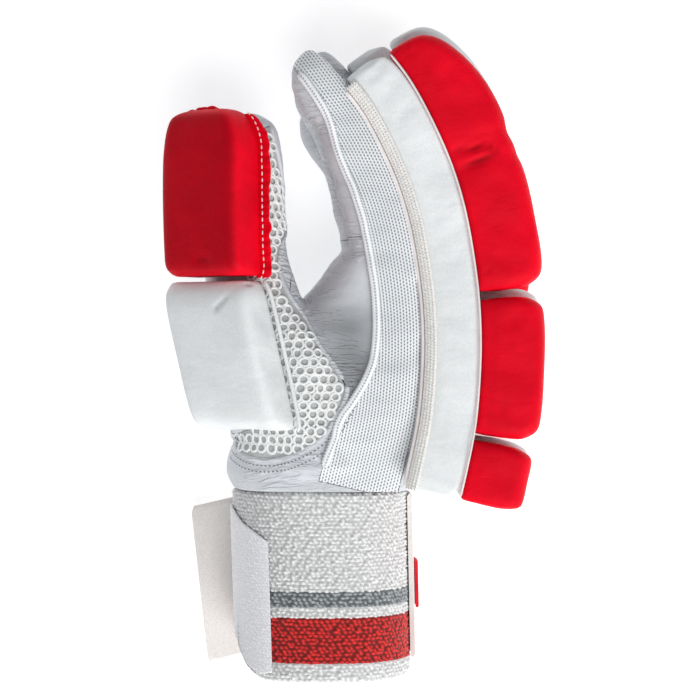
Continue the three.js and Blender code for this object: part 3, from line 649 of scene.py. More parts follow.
def cover_material(name, colour, dark, light, roughness, crease=0.4):
    """Satin cover of a pad: fine pressed grain, soft puckers and slightly uneven colour, with painted shade
    where the piece's points ask for it.
    """
    material, tree, shader, place = new_material(name, colour, roughness, specular=0.06)
    cloudy = noise_of(tree, place, 45.0, 3.0)
    grain = noise_of(tree, stretched(tree, place, (1500, 900, 1500)), 1.0, 3.0, 0.6, 0.4)
    tone = blend_of(tree, ramp_of(tree, cloudy, 0.3, 0.7), shade(colour, dark), shade(colour, light))
    # Painted shade: darker in the grooves of darts and dimples and on the outward face of the red thumb pad.
    tone = blend_of(tree, share_of(tree, "crease"), tone, shade(colour, crease))
    paint(tree, shader, tone, ramp_of(tree, grain, 0.3, 0.7), 0.93)
    limits = {0: grain, 3: roughness - 0.05, 4: roughness + 0.1}
    uneven = node(tree, "ShaderNodeMapRange", limits).outputs[0]
    tree.links.new(uneven, shader.inputs["Roughness"])
    puckers = noise_of(tree, stretched(tree, place, (60, 130, 90)), 1.0, 2.0, 0.5, 0.6)
    soft = bump_of(tree, puckers, 0.0012, 0.35)
    tree.links.new(bump_of(tree, grain, 0.00022, 0.6, soft), shader.inputs["Normal"])
    return material


def leather_material(name, colour):
    """Soft leather with fine grain and long wrinkles that run across the hand, with painted shade in the
    wrinkles' valleys and in the hollow by the thumb.
    """
    material, tree, shader, place = new_material(name, colour, 0.55, specular=0.3)
    warp = noise_of(tree, place, 30.0, 2.0)
    moved = node(tree, "ShaderNodeVectorMath", {0: warp, 3: 0.012}, operation="SCALE").outputs[0]
    shifted = node(tree, "ShaderNodeVectorMath", {0: place, 1: moved}, operation="ADD").outputs[0]
    heights = []
    for turn, scale in ((0.35, (55, 330, 70)), (-0.2, (90, 520, 90))):
        streaks = noise_of(tree, stretched(tree, shifted, scale, (0, 0, turn)), 1.0, 2.0, 0.5, 0.5)
        off = math_of(tree, "ABSOLUTE", math_of(tree, "SUBTRACT", streaks, 0.5))
        heights.append(ramp_of(tree, off, -0.02, 0.14))
    long, short = (math_of(tree, "MULTIPLY", *pair) for pair in zip(heights, (0.65, 0.35)))
    both = math_of(tree, "ADD", long, short)
    slack = ramp_of(tree, noise_of(tree, place, 22.0, 1.0), 0.35, 0.6)
    calm = math_of(tree, "SUBTRACT", 1.0, math_of(tree, "MULTIPLY", slack, 0.75))
    fold = math_of(tree, "MAXIMUM", both, calm)
    grain = noise_of(tree, place, 1500.0, 4.0, 0.6)
    # Painted shade in the valleys of the wrinkles.
    tone = blend_of(tree, fold, shade(colour, 0.8), shade(colour, 1.0))
    # Painted shade in the hollow between the thumb and the palm.
    tone = blend_of(tree, share_of(tree, "hollow"), tone, shade(colour, 0.36))
    paint(tree, shader, tone, ramp_of(tree, grain, 0.3, 0.7), 0.92)
    folds = bump_of(tree, fold, 0.001, 0.8)
    tree.links.new(bump_of(tree, grain, 0.00015, 0.6, folds), shader.inputs["Normal"])
    return material


def knit_material(name, colour, gap_shade_colour, wale, course, slant=0.9):
    """Fine knitted cloth: rows of stitches along the seam, with painted shade as a dark gap beside each
    stitch.
    """
    material, tree, shader, place = new_material(name, colour, 0.85, sheen=0.25)
    pattern = node(tree, "ShaderNodeUVMap", uv_map="pattern").outputs[0]
    split = node(tree, "ShaderNodeSeparateXYZ", {0: pattern})
    column = math_of(tree, "DIVIDE", split.outputs[1], wale)
    beside = math_of(tree, "ABSOLUTE", math_of(tree, "SUBTRACT", math_of(tree, "FRACT", column), 0.5))
    stagger = math_of(tree, "MULTIPLY", math_of(tree, "ROUND", column), 0.5)
    leaning = math_of(tree, "ADD", math_of(tree, "MULTIPLY", beside, slant), stagger)
    course_at = math_of(tree, "DIVIDE", split.outputs[0], course)
    row = math_of(tree, "FRACT", math_of(tree, "ADD", course_at, leaning))
    between = math_of(tree, "ABSOLUTE", math_of(tree, "SUBTRACT", row, 0.5))
    off_column = math_of(tree, "SUBTRACT", 0.5, beside)
    squares = [
        math_of(tree, "POWER", math_of(tree, "DIVIDE", off, 0.3), 2.0)
        for off in (off_column, between)
    ]
    stitch = ramp_of(tree, math_of(tree, "ADD", *squares), 0.15, 1.25)
    groove = ramp_of(tree, off_column, 0.0, 0.16)
    shallow = math_of(tree, "ADD", math_of(tree, "MULTIPLY", groove, 0.35), 0.65)
    height = math_of(tree, "MULTIPLY", stitch, shallow)
    fibre = noise_of(tree, place, 2600.0, 2.0)
    # Painted shade in the gaps between the stitches.
    tone = blend_of(tree, height, gap_shade_colour, (*colour[:3], 1))
    paint(tree, shader, tone, noise_of(tree, place, 60.0, 3.0), 0.93)
    raised = bump_of(tree, height, 0.0004, 0.8)
    tree.links.new(bump_of(tree, fibre, 0.0001, 0.5, raised), shader.inputs["Normal"])
    return material


def cloth_material(name, colour, low, size, sheen=0.4, depth=0.0003):
    """Brushed cloth: short fibres in soft tufts of a size."""
    material, tree, shader, place = new_material(name, colour, 0.9, sheen=sheen)
    tufts = noise_of(tree, place, 1000 / size, 3.0, 0.65)
    cloudy = noise_of(tree, place, 70.0, 3.0)
    tone = blend_of(tree, ramp_of(tree, tufts, 0.32, 0.62), shade(colour, low), shade(colour, 1.0))
    paint(tree, shader, tone, cloudy, 0.9)
    tree.links.new(bump_of(tree, tufts, depth, 0.8), shader.inputs["Normal"])
    return material


def towelling_material(name, white, red, grey, bands, low=0.62):
    """Looped towelling that reads each loop's height, with painted shade in the low parts between the loops,
    and its coloured bands.
    """
    material, tree, shader, place = new_material(name, white, 0.92, sheen=0.3)
    loops = share_of(tree, "loops")
    pattern = node(tree, "ShaderNodeUVMap", uv_map="pattern").outputs[0]
    up = node(tree, "ShaderNodeSeparateXYZ", {0: pattern}).outputs[1]
    ragged = math_of(tree, "MULTIPLY", math_of(tree, "SUBTRACT", loops, 0.5), 0.9)
    edge = math_of(tree, "ADD", up, ragged)
    fibre = noise_of(tree, place, 1800.0, 3.0, 0.6)
    # Painted shade: the low parts between the loops are darker, by low on white and more on the red and grey
    # bands.
    high = ramp_of(tree, loops, 0.12, 0.62)
    tones = []
    for colour, deep in ((white, low), (red, 0.22), (grey, 0.28)):
        tones.append(blend_of(tree, high, shade(colour, deep), shade(colour, 1.0)))
    outside = share_of(tree, "outside")

    def band(bottom, top):
        past = ramp_of(tree, edge, bottom - 0.15, bottom + 0.15)
        short_of = math_of(tree, "SUBTRACT", 1.0, ramp_of(tree, edge, top - 0.15, top + 0.15))
        return math_of(tree, "MULTIPLY", math_of(tree, "MULTIPLY", past, short_of), outside)

    tone = blend_of(tree, band(*bands[0]), tones[0], tones[1])
    tone = blend_of(tree, band(*bands[1]), tone, tones[2])
    paint(tree, shader, tone, ramp_of(tree, fibre, 0.3, 0.7), 0.88)
    tree.links.new(bump_of(tree, fibre, 0.0002, 0.7), shader.inputs["Normal"])
    return material


def thread_material(name, colour):
    """Twisted sewing thread."""
    material, tree, shader, place = new_material(name, colour, 0.6, sheen=0.2)
    twist = noise_of(tree, place, 3000.0, 2.0)
    tone = blend_of(tree, ramp_of(tree, twist, 0.3, 0.7), shade(colour, 0.82), shade(colour, 1.0))
    tree.links.new(tone, shader.inputs["Base Color"])
    tree.links.new(bump_of(tree, twist, 0.0001, 0.5), shader.inputs["Normal"])
    return material


MATERIALS = {}


def make_materials(looks):
    """Fills the table of materials from the colours that the user may change."""
    red, white, leather = looks.red, looks.white, looks.leather
    MATERIALS.update(
        # The covers' painted shade is darker on red (the default) than on white (0.62).
        red_cover=cover_material("red satin", red, 0.88, 1.1, 0.5),
        white_cover=cover_material("white satin", white, 0.95, 1.02, 0.5, 0.62),
        leather=leather_material("soft leather", leather),
        knit=knit_material("side knit", looks.knit, (*looks.knit_gap_shade, 1), looks.wale, looks.course),
        # The rolled knit's gaps get painted shade at half its colour.
        rib=knit_material("rolled knit", shade(looks.knit, 1.12), shade(looks.knit, 0.5), 2.0, 1.3, 1.6),
        ground=cloth_material("mesh ground", looks.mesh_ground, 0.8, 0.7, 0.2),
        net=thread_material("mesh strands", looks.strand),
        towelling=towelling_material("towelling", looks.towelling, looks.band_red, looks.band_grey,
                                     ((looks.red_low, looks.red_top), (looks.grey_low, looks.grey_top))),
        loop=towelling_material("brushed loops", looks.loop_cloth, looks.loop_cloth, looks.loop_cloth,
                                ((-2, -1), (-2, -1)), 0.84),
        velour=cloth_material("velour", looks.velour, 0.86, 0.6, 0.6),
        thread=thread_material("white thread", looks.thread),
        strap_thread=thread_material("strap thread", shade(looks.velour, 0.75)),
        grey_thread=thread_material("grey thread", looks.leather_gap),
        piping=cover_material("piping", looks.piping, 0.9, 1.04, 0.5),
        binding=cloth_material("seam binding", looks.binding, 0.82, 0.9, 0.3),
        red_cloth=cloth_material("red cloth", red, 0.7, 0.8, 0.2),
    )


# Hand: palm, fingers and thumb in one skin, cut into its panels

def palm_rings(inset, sides=72):
    """Rings of the palm and the hand's back, from the wristband to the fingers."""
    depths = [(up_hand(row.up), CUFF_DEPTH / 2 + row.back * FINGER_CURL) for row in BACK_SEAM_ROWS]
    rings = []
    ups = np.linspace(0, PALM_ROWS[-1].up, 60)
    for up in ups:
        deep = read_table(PALM_ROWS, "deep", up) * CUFF_DEPTH
        flare = read_table(PALM_ROWS, "flare", up)
        height = up_hand(up)
        rows = [Seam(place, back) for place, back in depths]
        back = read_table(rows, "back", height) - PALM_SINK * min(flare * 2, 1)
        if up == 0:
            height = CUFF_HEIGHT - LEATHER if inset else CUFF_HEIGHT + GAP
        elif up == ups[-1]:
            height -= inset
        wide = CUFF_WIDTH + (HAND_WIDTH - CUFF_WIDTH) * flare
        x, y = oval(deep / 2 - inset, wide / 2 - inset, 3, sides, 7)
        shift = CUFF_SHIFT * (1 - flare)
        rings.append(np.stack([back - deep / 2 + x, shift + y, np.full(sides, height)], axis=1))
    return rings


def finger_rings(finger, inset, sides=44):
    """Rings of one finger, from inside the palm to its tip."""
    depth = finger.depth * FINGER_DEPTH
    half_width = (FINGER_PITCH - FINGER_GAP) / 2
    line = SEAM_LINES[finger.name]
    tip_share = (finger.tip * FINGERTIP - inset) / line.length
    stations = [(along, read_table(SHAFT_ROWS, "deep", along), 1, 0) for along in np.linspace(0.5, 1, 46)]
    for past in np.linspace(0, 1, 15)[1:]:
        deep, wide, lift = (read_table(TIP_ROWS, column, past) for column in ("deep", "wide", "lift"))
        stations.append((1 + past * tip_share, deep, wide, lift))
    rings = []
    for along, deep, wide, lift in stations:
        point, outward, _ = line.at(along)
        out, across = oval(depth * deep / 2 - inset * deep, (half_width - inset) * wide, 2.8, sides)
        out = out - SEAT_GAP - deep * depth / 2 - lift * depth
        side = finger_centre(finger, along) + across
        rings.append(np.stack([point[0] + outward[0] * out, side, point[1] + outward[1] * out], axis=1))
    return rings


THUMB_ACROSS = np.array([math.cos(THUMB_TURN), -math.sin(THUMB_TURN), 0])
THUMB_OUTWARD = np.array([-math.sin(THUMB_TURN), -math.cos(THUMB_TURN), 0])


def thumb_at(along):
    """Centre of the thumb and half its width and depth."""
    centre = np.array([
        -read_table(THUMB_ROWS, "out", along) * THUMB_REACH,
        -read_table(THUMB_ROWS, "side", along) * THUMB_SIDE,
        CUFF_HEIGHT + THUMB_ROOT + along * THUMB_LENGTH,
    ])
    wide = read_table(THUMB_ROWS, "wide", along) * THUMB_WIDTH / 2
    deep = read_table(THUMB_ROWS, "deep", along) * THUMB_DEPTH / 2
    return centre, wide, deep


def thumb_rings(inset, sides=60):
    """Rings of the thumb, from inside the palm to its tip."""
    rings = []
    for along in np.linspace(0, 1, 70):
        centre, wide, deep = thumb_at(along)
        x, y = oval(max(wide - inset, inset), max(deep - inset, inset / 2), 2.4, sides)
        if along == 1:
            centre[2] -= inset
        rings.append(centre + x[:, None] * THUMB_ACROSS + y[:, None] * THUMB_OUTWARD)
    return rings


def hand_form(inset, voxel, smoothing):
    """Palm, fingers and thumb as one closed skin."""
    forms = [loft(palm_rings(inset)), loft(thumb_rings(inset))]
    forms += [loft(finger_rings(finger, inset)) for finger in FINGERS]
    points, faces = [], []
    for more, theirs in forms:
        start = sum(len(part) for part in points)
        points.append(more)
        faces += [tuple(start + k for k in face) for face in theirs]
    form = new_object("hand form", np.concatenate(points), faces)
    remesh = form.modifiers.new("Remesh", "REMESH")
    remesh.mode = "VOXEL"
    remesh.voxel_size = voxel / 1000
    relax = form.modifiers.new("Relax", "SMOOTH")
    relax.factor = 0.5
    relax.iterations = smoothing
    return bake(form)


def rumple(form, folds):
    """Soft folds in the skin, where the leather is slack."""
    points, normals = mesh_points(form), mesh_normals(form)
    moves = np.zeros(len(points))
    for k, (x, y, z) in enumerate(points):
        wave = noise.noise(Vector((x / 26, y / 26, z / 9)))
        small = noise.noise(Vector((x / 11 + 7, y / 11, z / 3.6)))
        moves[k] = wave * folds + small * folds * 0.45
    slack = np.clip((points[:, 2] - CUFF_HEIGHT - 4) / 12, 0, 1)
    set_points(form, points + normals * (moves * slack)[:, None])


def grown(outline, margin):
    """Outline moved outwards by a margin."""
    outline = np.asarray(outline, float)
    before, after = np.roll(outline, 1, axis=0), np.roll(outline, -1, axis=0)
    area = np.sum(before[:, 0] * outline[:, 1] - outline[:, 0] * before[:, 1])
    turn = 1 if area > 0 else -1
    into = unit(outline - before)
    side = unit(into + unit(after - outline))
    reach = margin / np.maximum(np.sum(side * into, axis=1), 0.5)
    return outline + turn * np.stack([side[:, 1] * reach, -side[:, 0] * reach], axis=1)


def painted_hollow_shade(obj):
    """Painted shade: share from nought to one of how deep a point lies between the thumb and the palm, by
    which its leather is painted darker.
    """
    points = mesh_points(obj)[:, [0, 2]]
    along = np.clip((HOLLOW_TOP - points[:, 1]) / HOLLOW_LENGTH, 0, 1)
    middle = np.stack([HOLLOW_AT + HOLLOW_LEAN * along, HOLLOW_TOP - HOLLOW_LENGTH * along], axis=1)
    return HOLLOW_PAINTED_SHADE * np.exp(-(np.linalg.norm(points - middle, axis=1) / HOLLOW_ROUND) ** 2)


def prism(outline, nearest, farthest):
    """Straight cutter with an outline in the x and z plane, between two places along y."""
    outline = np.asarray(outline)
    count = len(outline)
    low = np.stack([outline[:, 0], np.full(count, nearest), outline[:, 1]], axis=1)
    high = low.copy()
    high[:, 1] = farthest
    sides = [(k, (k + 1) % count, (k + 1) % count + count, k + count) for k in range(count)]
    faces = [tuple(range(count))[::-1], *sides, tuple(range(count, 2 * count))]
    points = np.concatenate([low, high])
    area = np.sum(outline[:, 0] * np.roll(outline[:, 1], -1) - np.roll(outline[:, 0], -1) * outline[:, 1])
    if area > 0:
        faces = [face[::-1] for face in faces]
    return new_object("cutter", points, faces)


def along_seam(line, rows, outside=SEAM_OUTSIDE):
    """Outline between the outside of a back seam and a line at a depth inside it."""
    def edge(along, depth):
        point, outward, _ = line.at(along)
        return point + outward * depth

    near = [edge(along, outside) for along, _ in rows]
    far = [edge(along, -depth) for along, depth in rows]
    return np.array([*near, *far[::-1]])


def knit_depths():
    """Depth of a knitted side at even places along its seam, and past the seam's ends."""
    places = np.arange(-0.02, 1.135, 0.01)
    return [(along, read_table(KNIT_SIDE_ROWS, "wide", along) * KNIT_SIDE_WIDTH) for along in places]


def wrist_outline(finger):
    """Lower end of a knitted side, where the hand narrows to the wristband."""
    rows = [row for row in knit_depths() if row[0] < 0.3]
    return along_seam(SEAM_LINES[finger.name], rows, -(PALM_SINK + 2 * LEATHER))


def hand_outline(rows):
    """Outline in millimetres from rows that give shares of the hand."""
    return np.array([(row.back * CUFF_DEPTH / 2, up_hand(row.up)) for row in rows])


def panel_cutters():
    """Each panel's name and its cutters: an outline and the reach across the hand."""
    index, little = FINGERS[0], FINGERS[-1]
    wide = HAND_WIDTH
    index_centre, little_centre = index.across * FINGER_PITCH, little.across * FINGER_PITCH
    inwards = (HAND_WIDTH - CUFF_WIDTH) / 2 + CUFF_SHIFT
    index_line, little_line = SEAM_LINES["index"], SEAM_LINES["little"]
    depths = knit_depths()
    back_rows = [(along, BACK_SEAM_DEPTH) for along, _ in depths]
    return {
        "index_gusset": [
            (along_seam(index_line, depths), -wide, index_centre),
            (wrist_outline(index), -wide, index_centre + inwards),
        ],
        "little_gusset": [
            (along_seam(little_line, depths), little_centre, wide),
            (wrist_outline(little), little_centre - inwards, wide),
        ],
        "thumb_mesh": [(spaced_outline(MESH_OUTLINE), -wide, -30)],
        "thumb": [(hand_outline(THUMB_OUTLINE), -wide, 5)],
        "fingers": [(hand_outline(FINGER_OUTLINE), -wide, wide)],
        "hand_back": [(along_seam(index_line, back_rows), -wide, wide)],
    }


def spaced_outline(rows):
    """The same outline, rounded and closed."""
    outline = hand_outline(rows)
    return smooth_line([*outline, outline[0]], 4)[:-1]


def cutter_of(blocks, margin):
    """One cutter from a panel's blocks, each grown by a margin."""
    whole = None
    for outline, near, far in blocks:
        block = prism(grown(outline, margin) if margin else outline, near - margin, far + margin)
        if whole is None:
            whole = block
        else:
            boolean(whole, block, "UNION")
            remove(block)
    return whole


def loose_parts(obj):
    """Sets of points that hang together, the largest first."""
    count = len(obj.data.vertices)
    label = np.arange(count)
    edges = np.empty(len(obj.data.edges) * 2, int)
    obj.data.edges.foreach_get("vertices", edges)
    edges = edges.reshape(-1, 2)
    while True:
        least = np.minimum(label[edges[:, 0]], label[edges[:, 1]])
        before = label.copy()
        np.minimum.at(label, edges[:, 0], least)
        np.minimum.at(label, edges[:, 1], least)
        label = label[label]
        if np.array_equal(before, label):
            break
    names, counts = np.unique(label, return_counts=True)
    return [np.flatnonzero(label == names[k]) for k in np.argsort(-counts)]


def only_faces(obj, faces):
    """New object with only some of an object's faces, and their points."""
    used = np.unique([corner for face in faces for corner in face])
    renamed = {old: new for new, old in enumerate(used)}
    faces = [[renamed[corner] for corner in face] for face in faces]
    return new_object(obj.name, mesh_points(obj)[used], faces)


class Skin:
    """The hand's outer skin, for laying seams and threads on."""

    def __init__(self, obj):
        points = mesh_points(obj)
        faces = [tuple(face.vertices) for face in obj.data.polygons]
        self.tree = BVHTree.FromPolygons([tuple(point) for point in points], faces)

    def under(self, x, z, side=-1):
        """Point and outward direction on the skin, seen from the thumb side or the other one."""
        hit, normal, _, _ = self.tree.ray_cast(Vector((x, side * 120, z)), Vector((0, -side, 0)))
        if hit is None:
            near, normal, _, _ = self.tree.find_nearest(Vector((x, side * 30, z)))
            hit = near
        return np.array(hit), np.array(normal)

    def lay(self, outline, off, side=-1):
        """Line laid on the skin over an outline in the x and z plane, and its directions out."""
        flat = spaced(outline, 1.0)
        found = [self.under(x, z, side) for x, z in flat]
        places = np.array([hit + normal * off for hit, normal in found])
        out = np.array([normal for _, normal in found])
        for _ in range(2):
            out[1:-1] = (out[:-2] + out[1:-1] + out[2:]) / 3
            places[1:-1] = (places[:-2] + 2 * places[1:-1] + places[2:]) / 4
        return places, unit(out)


SKIN = {}


def seam_places(line, points):
    """Length along a seam and depth inside it of points in the x and z plane."""
    found = np.empty((len(points), 2))
    batch = 4000
    for start in range(0, len(points), batch):
        part = points[start:start + batch]
        gaps = part[:, None, :] - line.places[None]
        nearest = np.argmin(np.sum(gaps ** 2, axis=2), axis=1)
        last = len(line.places) - 1
        after = line.places[np.minimum(nearest + 1, last)]
        before = line.places[np.maximum(nearest - 1, 0)]
        forward = unit(after - before)
        gap = part - line.places[nearest]
        found[start:start + batch, 0] = line.lengths[nearest] + np.sum(gap * forward, axis=1)
        found[start:start + batch, 1] = -(gap[:, 0] * forward[:, 1] - gap[:, 1] * forward[:, 0])
    return found


def split_fingers(shells):
    """One object for each finger, with the faces that lie nearest to its middle."""
    points = mesh_points(shells)
    faces = [tuple(face.vertices) for face in shells.data.polygons]
    middles = np.array([points[list(face)].mean(axis=0) for face in faces])
    gaps = []
    for finger in FINGERS:
        line = SEAM_LINES[finger.name]
        along = seam_places(line, middles[:, [0, 2]])[:, 0] / line.length
        centre = np.array([finger_centre(finger, place) for place in along])
        gaps.append(np.abs(middles[:, 1] - centre))
    nearest = np.argmin(gaps, axis=0)
    return [
        only_faces(shells, [face for face, chosen in zip(faces, nearest) if chosen == k])
        for k in range(len(FINGERS))
    ]


class GLOVE_OT_hand(bpy.types.Operator):
    """Leather hand with its knitted sides and the ground of its open mesh"""

    bl_idname = "glove.hand"
    bl_label = "Hand"

    def execute(self, context):
        sizes = context.scene.glove_sizes
        outer = hand_form(0, sizes.skin_step, 5)
        rumple(outer, sizes.fold_depth)
        inner = hand_form(LEATHER, sizes.skin_step * 1.6, 3)
        SKIN["hand"] = Skin(outer)
        rest = boolean(outer, inner, "DIFFERENCE")
        remove(inner)
        slots = {
            "index_gusset": ("knit", "side_knit"),
            "little_gusset": ("knit", "side_knit"),
            "thumb_mesh": ("ground", "open_mesh"),
            "thumb": ("leather", "soft_leather"),
            "hand_back": ("leather", "soft_leather"),
            "palm": ("leather", "soft_leather"),
        }
        panels = {}
        for name, blocks in panel_cutters().items():
            panel = copy_of(rest)
            panel.name = name
            cutter = cutter_of(blocks, 0)
            boolean(panel, cutter, "INTERSECT")
            remove(cutter)
            cutter = cutter_of(blocks, GAP)
            boolean(rest, cutter, "DIFFERENCE")
            remove(cutter)
            panels[name] = panel
        panels["palm"] = rest
        shells = panels.pop("fingers")
        for finger, shell in zip(FINGERS, split_fingers(shells)):
            shell.name = shell.data.name = f"{finger.name}_finger_leather"
            # Painted shade for the hollow between the thumb and the palm.
            set_share(shell, "hollow", painted_hollow_shade(shell))
            finish_piece(shell, MATERIALS["leather"], "soft_leather", f"{finger.name}_finger")
        remove(shells)
        for name, panel in panels.items():
            largest = set(loose_parts(panel)[0])
            faces = [tuple(face.vertices) for face in panel.data.polygons]
            whole = only_faces(panel, [face for face in faces if face[0] in largest])
            remove(panel)
            whole.name = whole.data.name = f"{name}_panel"
            if name.endswith("gusset"):
                line = SEAM_LINES[name.split("_")[0]]
                set_uv(whole, seam_places(line, mesh_points(whole)[:, [0, 2]]))
            look, slot = slots[name]
            # Painted shade for the hollow between the thumb and the palm.
            set_share(whole, "hollow", painted_hollow_shade(whole))
            finish_piece(whole, MATERIALS[look], slot, name)
        return {"FINISHED"}


# Pads on the fingers and the thumb

def pad_section(half_width, height, corner, shrink):
    """Closed outline of a pad's section, from the middle of its seat round to it again."""
    half_width, height = half_width - shrink * 0.6, height - shrink * 0.4
    corner = min(corner, half_width * 0.9, height * 0.9)
    low = min(0.6, corner * 0.3)
    foot = half_width - FOOT_LEAN - low
    right = [(0, 0), (foot, 0)]
    right += [(foot + low * math.sin(t), low - low * math.cos(t)) for t in np.linspace(0.4, 1.57, 3)]
    right += [(half_width - FOOT_LEAN * 0.35, height * 0.25), (half_width, height * 0.5)]
    half_width -= FOOT_LEAN * 0.4
    right += [(half_width - corner + corner * math.cos(t), height - corner + corner * math.sin(t))
              for t in np.linspace(0, 1.5, 8)]
    right.append((0, height * PAD_CROWN_SHARE))
    half = spaced(right, travel(np.array(right))[-1] / 22)
    left = half[1:-1][::-1] * np.array([-1, 1])
    return np.concatenate([half, left])


def closed_pad(stations, place_of):
    """Pad from its stations, each a section and a place, with its ends drawn in to a point."""
    rings = [place_of(along, section) for along, section in stations]
    ends = []
    for ring, beside in ((rings[0], rings[1]), (rings[-1], rings[-2])):
        seat = ring[0] * 0.55 + ring[len(ring) // 2] * 0.45
        out = ring - beside
        out = out.mean(axis=0)
        out /= np.linalg.norm(out)
        ends.append([
            seat + (ring - seat) * share + out * reach
            for share, reach in ((0.8, 0.25), (0.55, 0.4), (0.28, 0.5))
        ])
    rings = [*ends[0][::-1], *rings, *ends[1]]
    points, faces = loft(rings)
    count = len(rings[0])
    seat = np.zeros(len(points), bool)
    for row in range(3, len(rings) - 3):
        seat[row * count:row * count + 9] = True
        seat[(row + 1) * count - 8:(row + 1) * count] = True
    return points, faces, seat


def pad_stations(rows, length, half_width, thickness, corner, shrink):
    """Sections along a pad at an even spacing, closer where its ends round over."""
    count = max(int(length / 2.4), 8)
    eased = (1 - np.cos(np.linspace(0, math.pi, count + 1))) / 2
    places = 0.45 * eased + 0.55 * np.linspace(0, 1, count + 1)
    inset = shrink / length
    return [
        (inset + along * (1 - 2 * inset), pad_section(
            half_width * read_table(rows, "wide", along),
            thickness * read_table(rows, "rise", along),
            corner, shrink,
        ))
        for along in places
    ]


def back_pad(finger, block, shrink):
    """Pad on a finger's back, along its seam."""
    line = SEAM_LINES[finger.name]

    def place_of(along, section):
        place = block.start + along * (block.end - block.start)
        point, outward, _ = line.at(place)
        rise = block.seat + section[:, 1]
        side = finger_centre(finger, place) + section[:, 0]
        return np.stack([point[0] + outward[0] * rise, side, point[1] + outward[1] * rise], axis=1)

    length = (block.end - block.start) * line.length
    half_width = (FINGER_PITCH - ROLL_GAP) / 2
    corner = EDGE_ROUND if block.name == "bar" else block.corner
    return closed_pad(pad_stations(block.rows, length, half_width, block.thickness, corner, shrink), place_of)


def thumb_pad_place(block, along):
    """Middle of a thumb pad's seat, on an even curve along the thumb."""
    spots = []
    for share in (0, 0.5, 1):
        centre, _, deep = thumb_at(min((block.root + share * block.length) / THUMB_LENGTH, 1))
        seat = max(deep, THUMB_DEPTH / 2 * 0.79) + GAP
        spots.append(centre + THUMB_ACROSS * (THUMB_PAD_EDGE - block.width / 2) + THUMB_OUTWARD * seat)
    middle = (spots[1] * 2 + spots[0] + spots[2]) / 4
    place = spots[0] * (1 - along) * (1 - 2 * along)
    place = place + middle * 4 * along * (1 - along)
    place = place + spots[2] * along * (2 * along - 1)
    place[2] = CUFF_HEIGHT + THUMB_ROOT + block.root + along * block.length
    return place - THUMB_ACROSS * block.slide * max(0, (along - 0.75) / 0.25) ** 2


def thumb_pad(block, shrink):
    """Pad on the outer side of the thumb."""
    def place_of(along, section):
        middle = thumb_pad_place(block, along)
        return middle + section[:, :1] * THUMB_ACROSS + section[:, 1:] * THUMB_OUTWARD

    return closed_pad(pad_stations(
        block.rows, block.length, block.width / 2, THUMB_PAD_WALL, BAR_CORNER, shrink), place_of)


def inflate(pads, sizes):
    """Cloth simulation of a group of pads, held along their seats, with a cap on each move."""
    scene = bpy.context.scene
    before = {}
    for obj, seat in pads:
        before[obj.name] = mesh_points(obj)
        held = obj.vertex_groups.new(name="held")
        held.add([int(k) for k in np.flatnonzero(seat)], 1, "REPLACE")
        cloth = obj.modifiers.new("Cloth", "CLOTH")
        settings = cloth.settings
        settings.quality = 6
        settings.mass = 0.3
        settings.tension_stiffness = 25
        settings.compression_stiffness = 25
        settings.shear_stiffness = 15
        settings.bending_stiffness = 1.5
        settings.use_pressure = True
        settings.uniform_pressure_force = sizes.pad_pressure
        settings.shrink_min = -sizes.pad_slack
        settings.vertex_group_mass = "held"
        settings.effector_weights.gravity = 0
        cloth.point_cache.frame_start = 1
        cloth.point_cache.frame_end = CLOTH_FRAMES
    for number in range(1, CLOTH_FRAMES + 1):
        scene.frame_set(number)
    for obj, _ in pads:
        bake(obj)
        obj.vertex_groups.clear()
        moved = mesh_points(obj) - before[obj.name]
        size = np.linalg.norm(moved, axis=1)[:, None]
        cap = sizes.pad_swell
        moved *= cap * np.tanh(size / cap) / np.maximum(size, 1e-6)
        set_points(obj, before[obj.name] + moved)
    scene.frame_set(1)


def refine(obj):
    """The object with its faces split once and smoothed."""
    finer = obj.modifiers.new("Finer", "SUBSURF")
    finer.levels = finer.render_levels = 1
    return bake(obj)


def nearness(points, path, width):
    """Share from nought to one of how near points are to a path."""
    near = np.full(len(points), 1e9)
    for spot in spaced(path, 0.5):
        near = np.minimum(near, np.linalg.norm(points - spot, axis=1))
    return np.exp(-(near / width) ** 2)


def groove(obj, path, width, depth):
    """Narrow valley pressed into a pad along a path."""
    points, normals = mesh_points(obj), mesh_normals(obj)
    share = nearness(points, path, width)
    set_points(obj, points - normals * (share * depth)[:, None])
    return share


# A dart's dark is how much painted shade its groove gets.
Dart = namedtuple("Dart", "along lean height width depth dark")
ROLL_DARTS = table_of(Dart, [
    (0.475, 0.018, 19, 1.0, 1.7, 0.9), (0.55, -0.03, 17, 1.0, 1.5, 0.8),
    (0.925, 0.012, 5, 0.9, 0.9, 0.3), (0.95, 0.01, 7, 0.9, 1.1, 0.5),
    (0.972, 0.008, 6, 0.9, 1.1, 0.5), (0.06, 0.02, 4, 0.9, 0.8, 0.3),
])


def dart_path(finger, block, dart, side):
    """Path of a dart up one side of a roll, from its seat."""
    line = SEAM_LINES[finger.name]
    half_width = (FINGER_PITCH - ROLL_GAP) / 2 - 0.4
    spots = []
    for share in np.linspace(0, 1, 12):
        place = block.start + (dart.along + dart.lean * share) * (block.end - block.start)
        point, outward, _ = line.at(place)
        reach = block.seat + 0.5 + share * dart.height
        across = half_width * read_table(block.rows, "wide", dart.along)
        spots.append([point[0] + outward[0] * reach, finger_centre(finger, place) + side * across,
                      point[1] + outward[1] * reach])
    return np.array(spots)


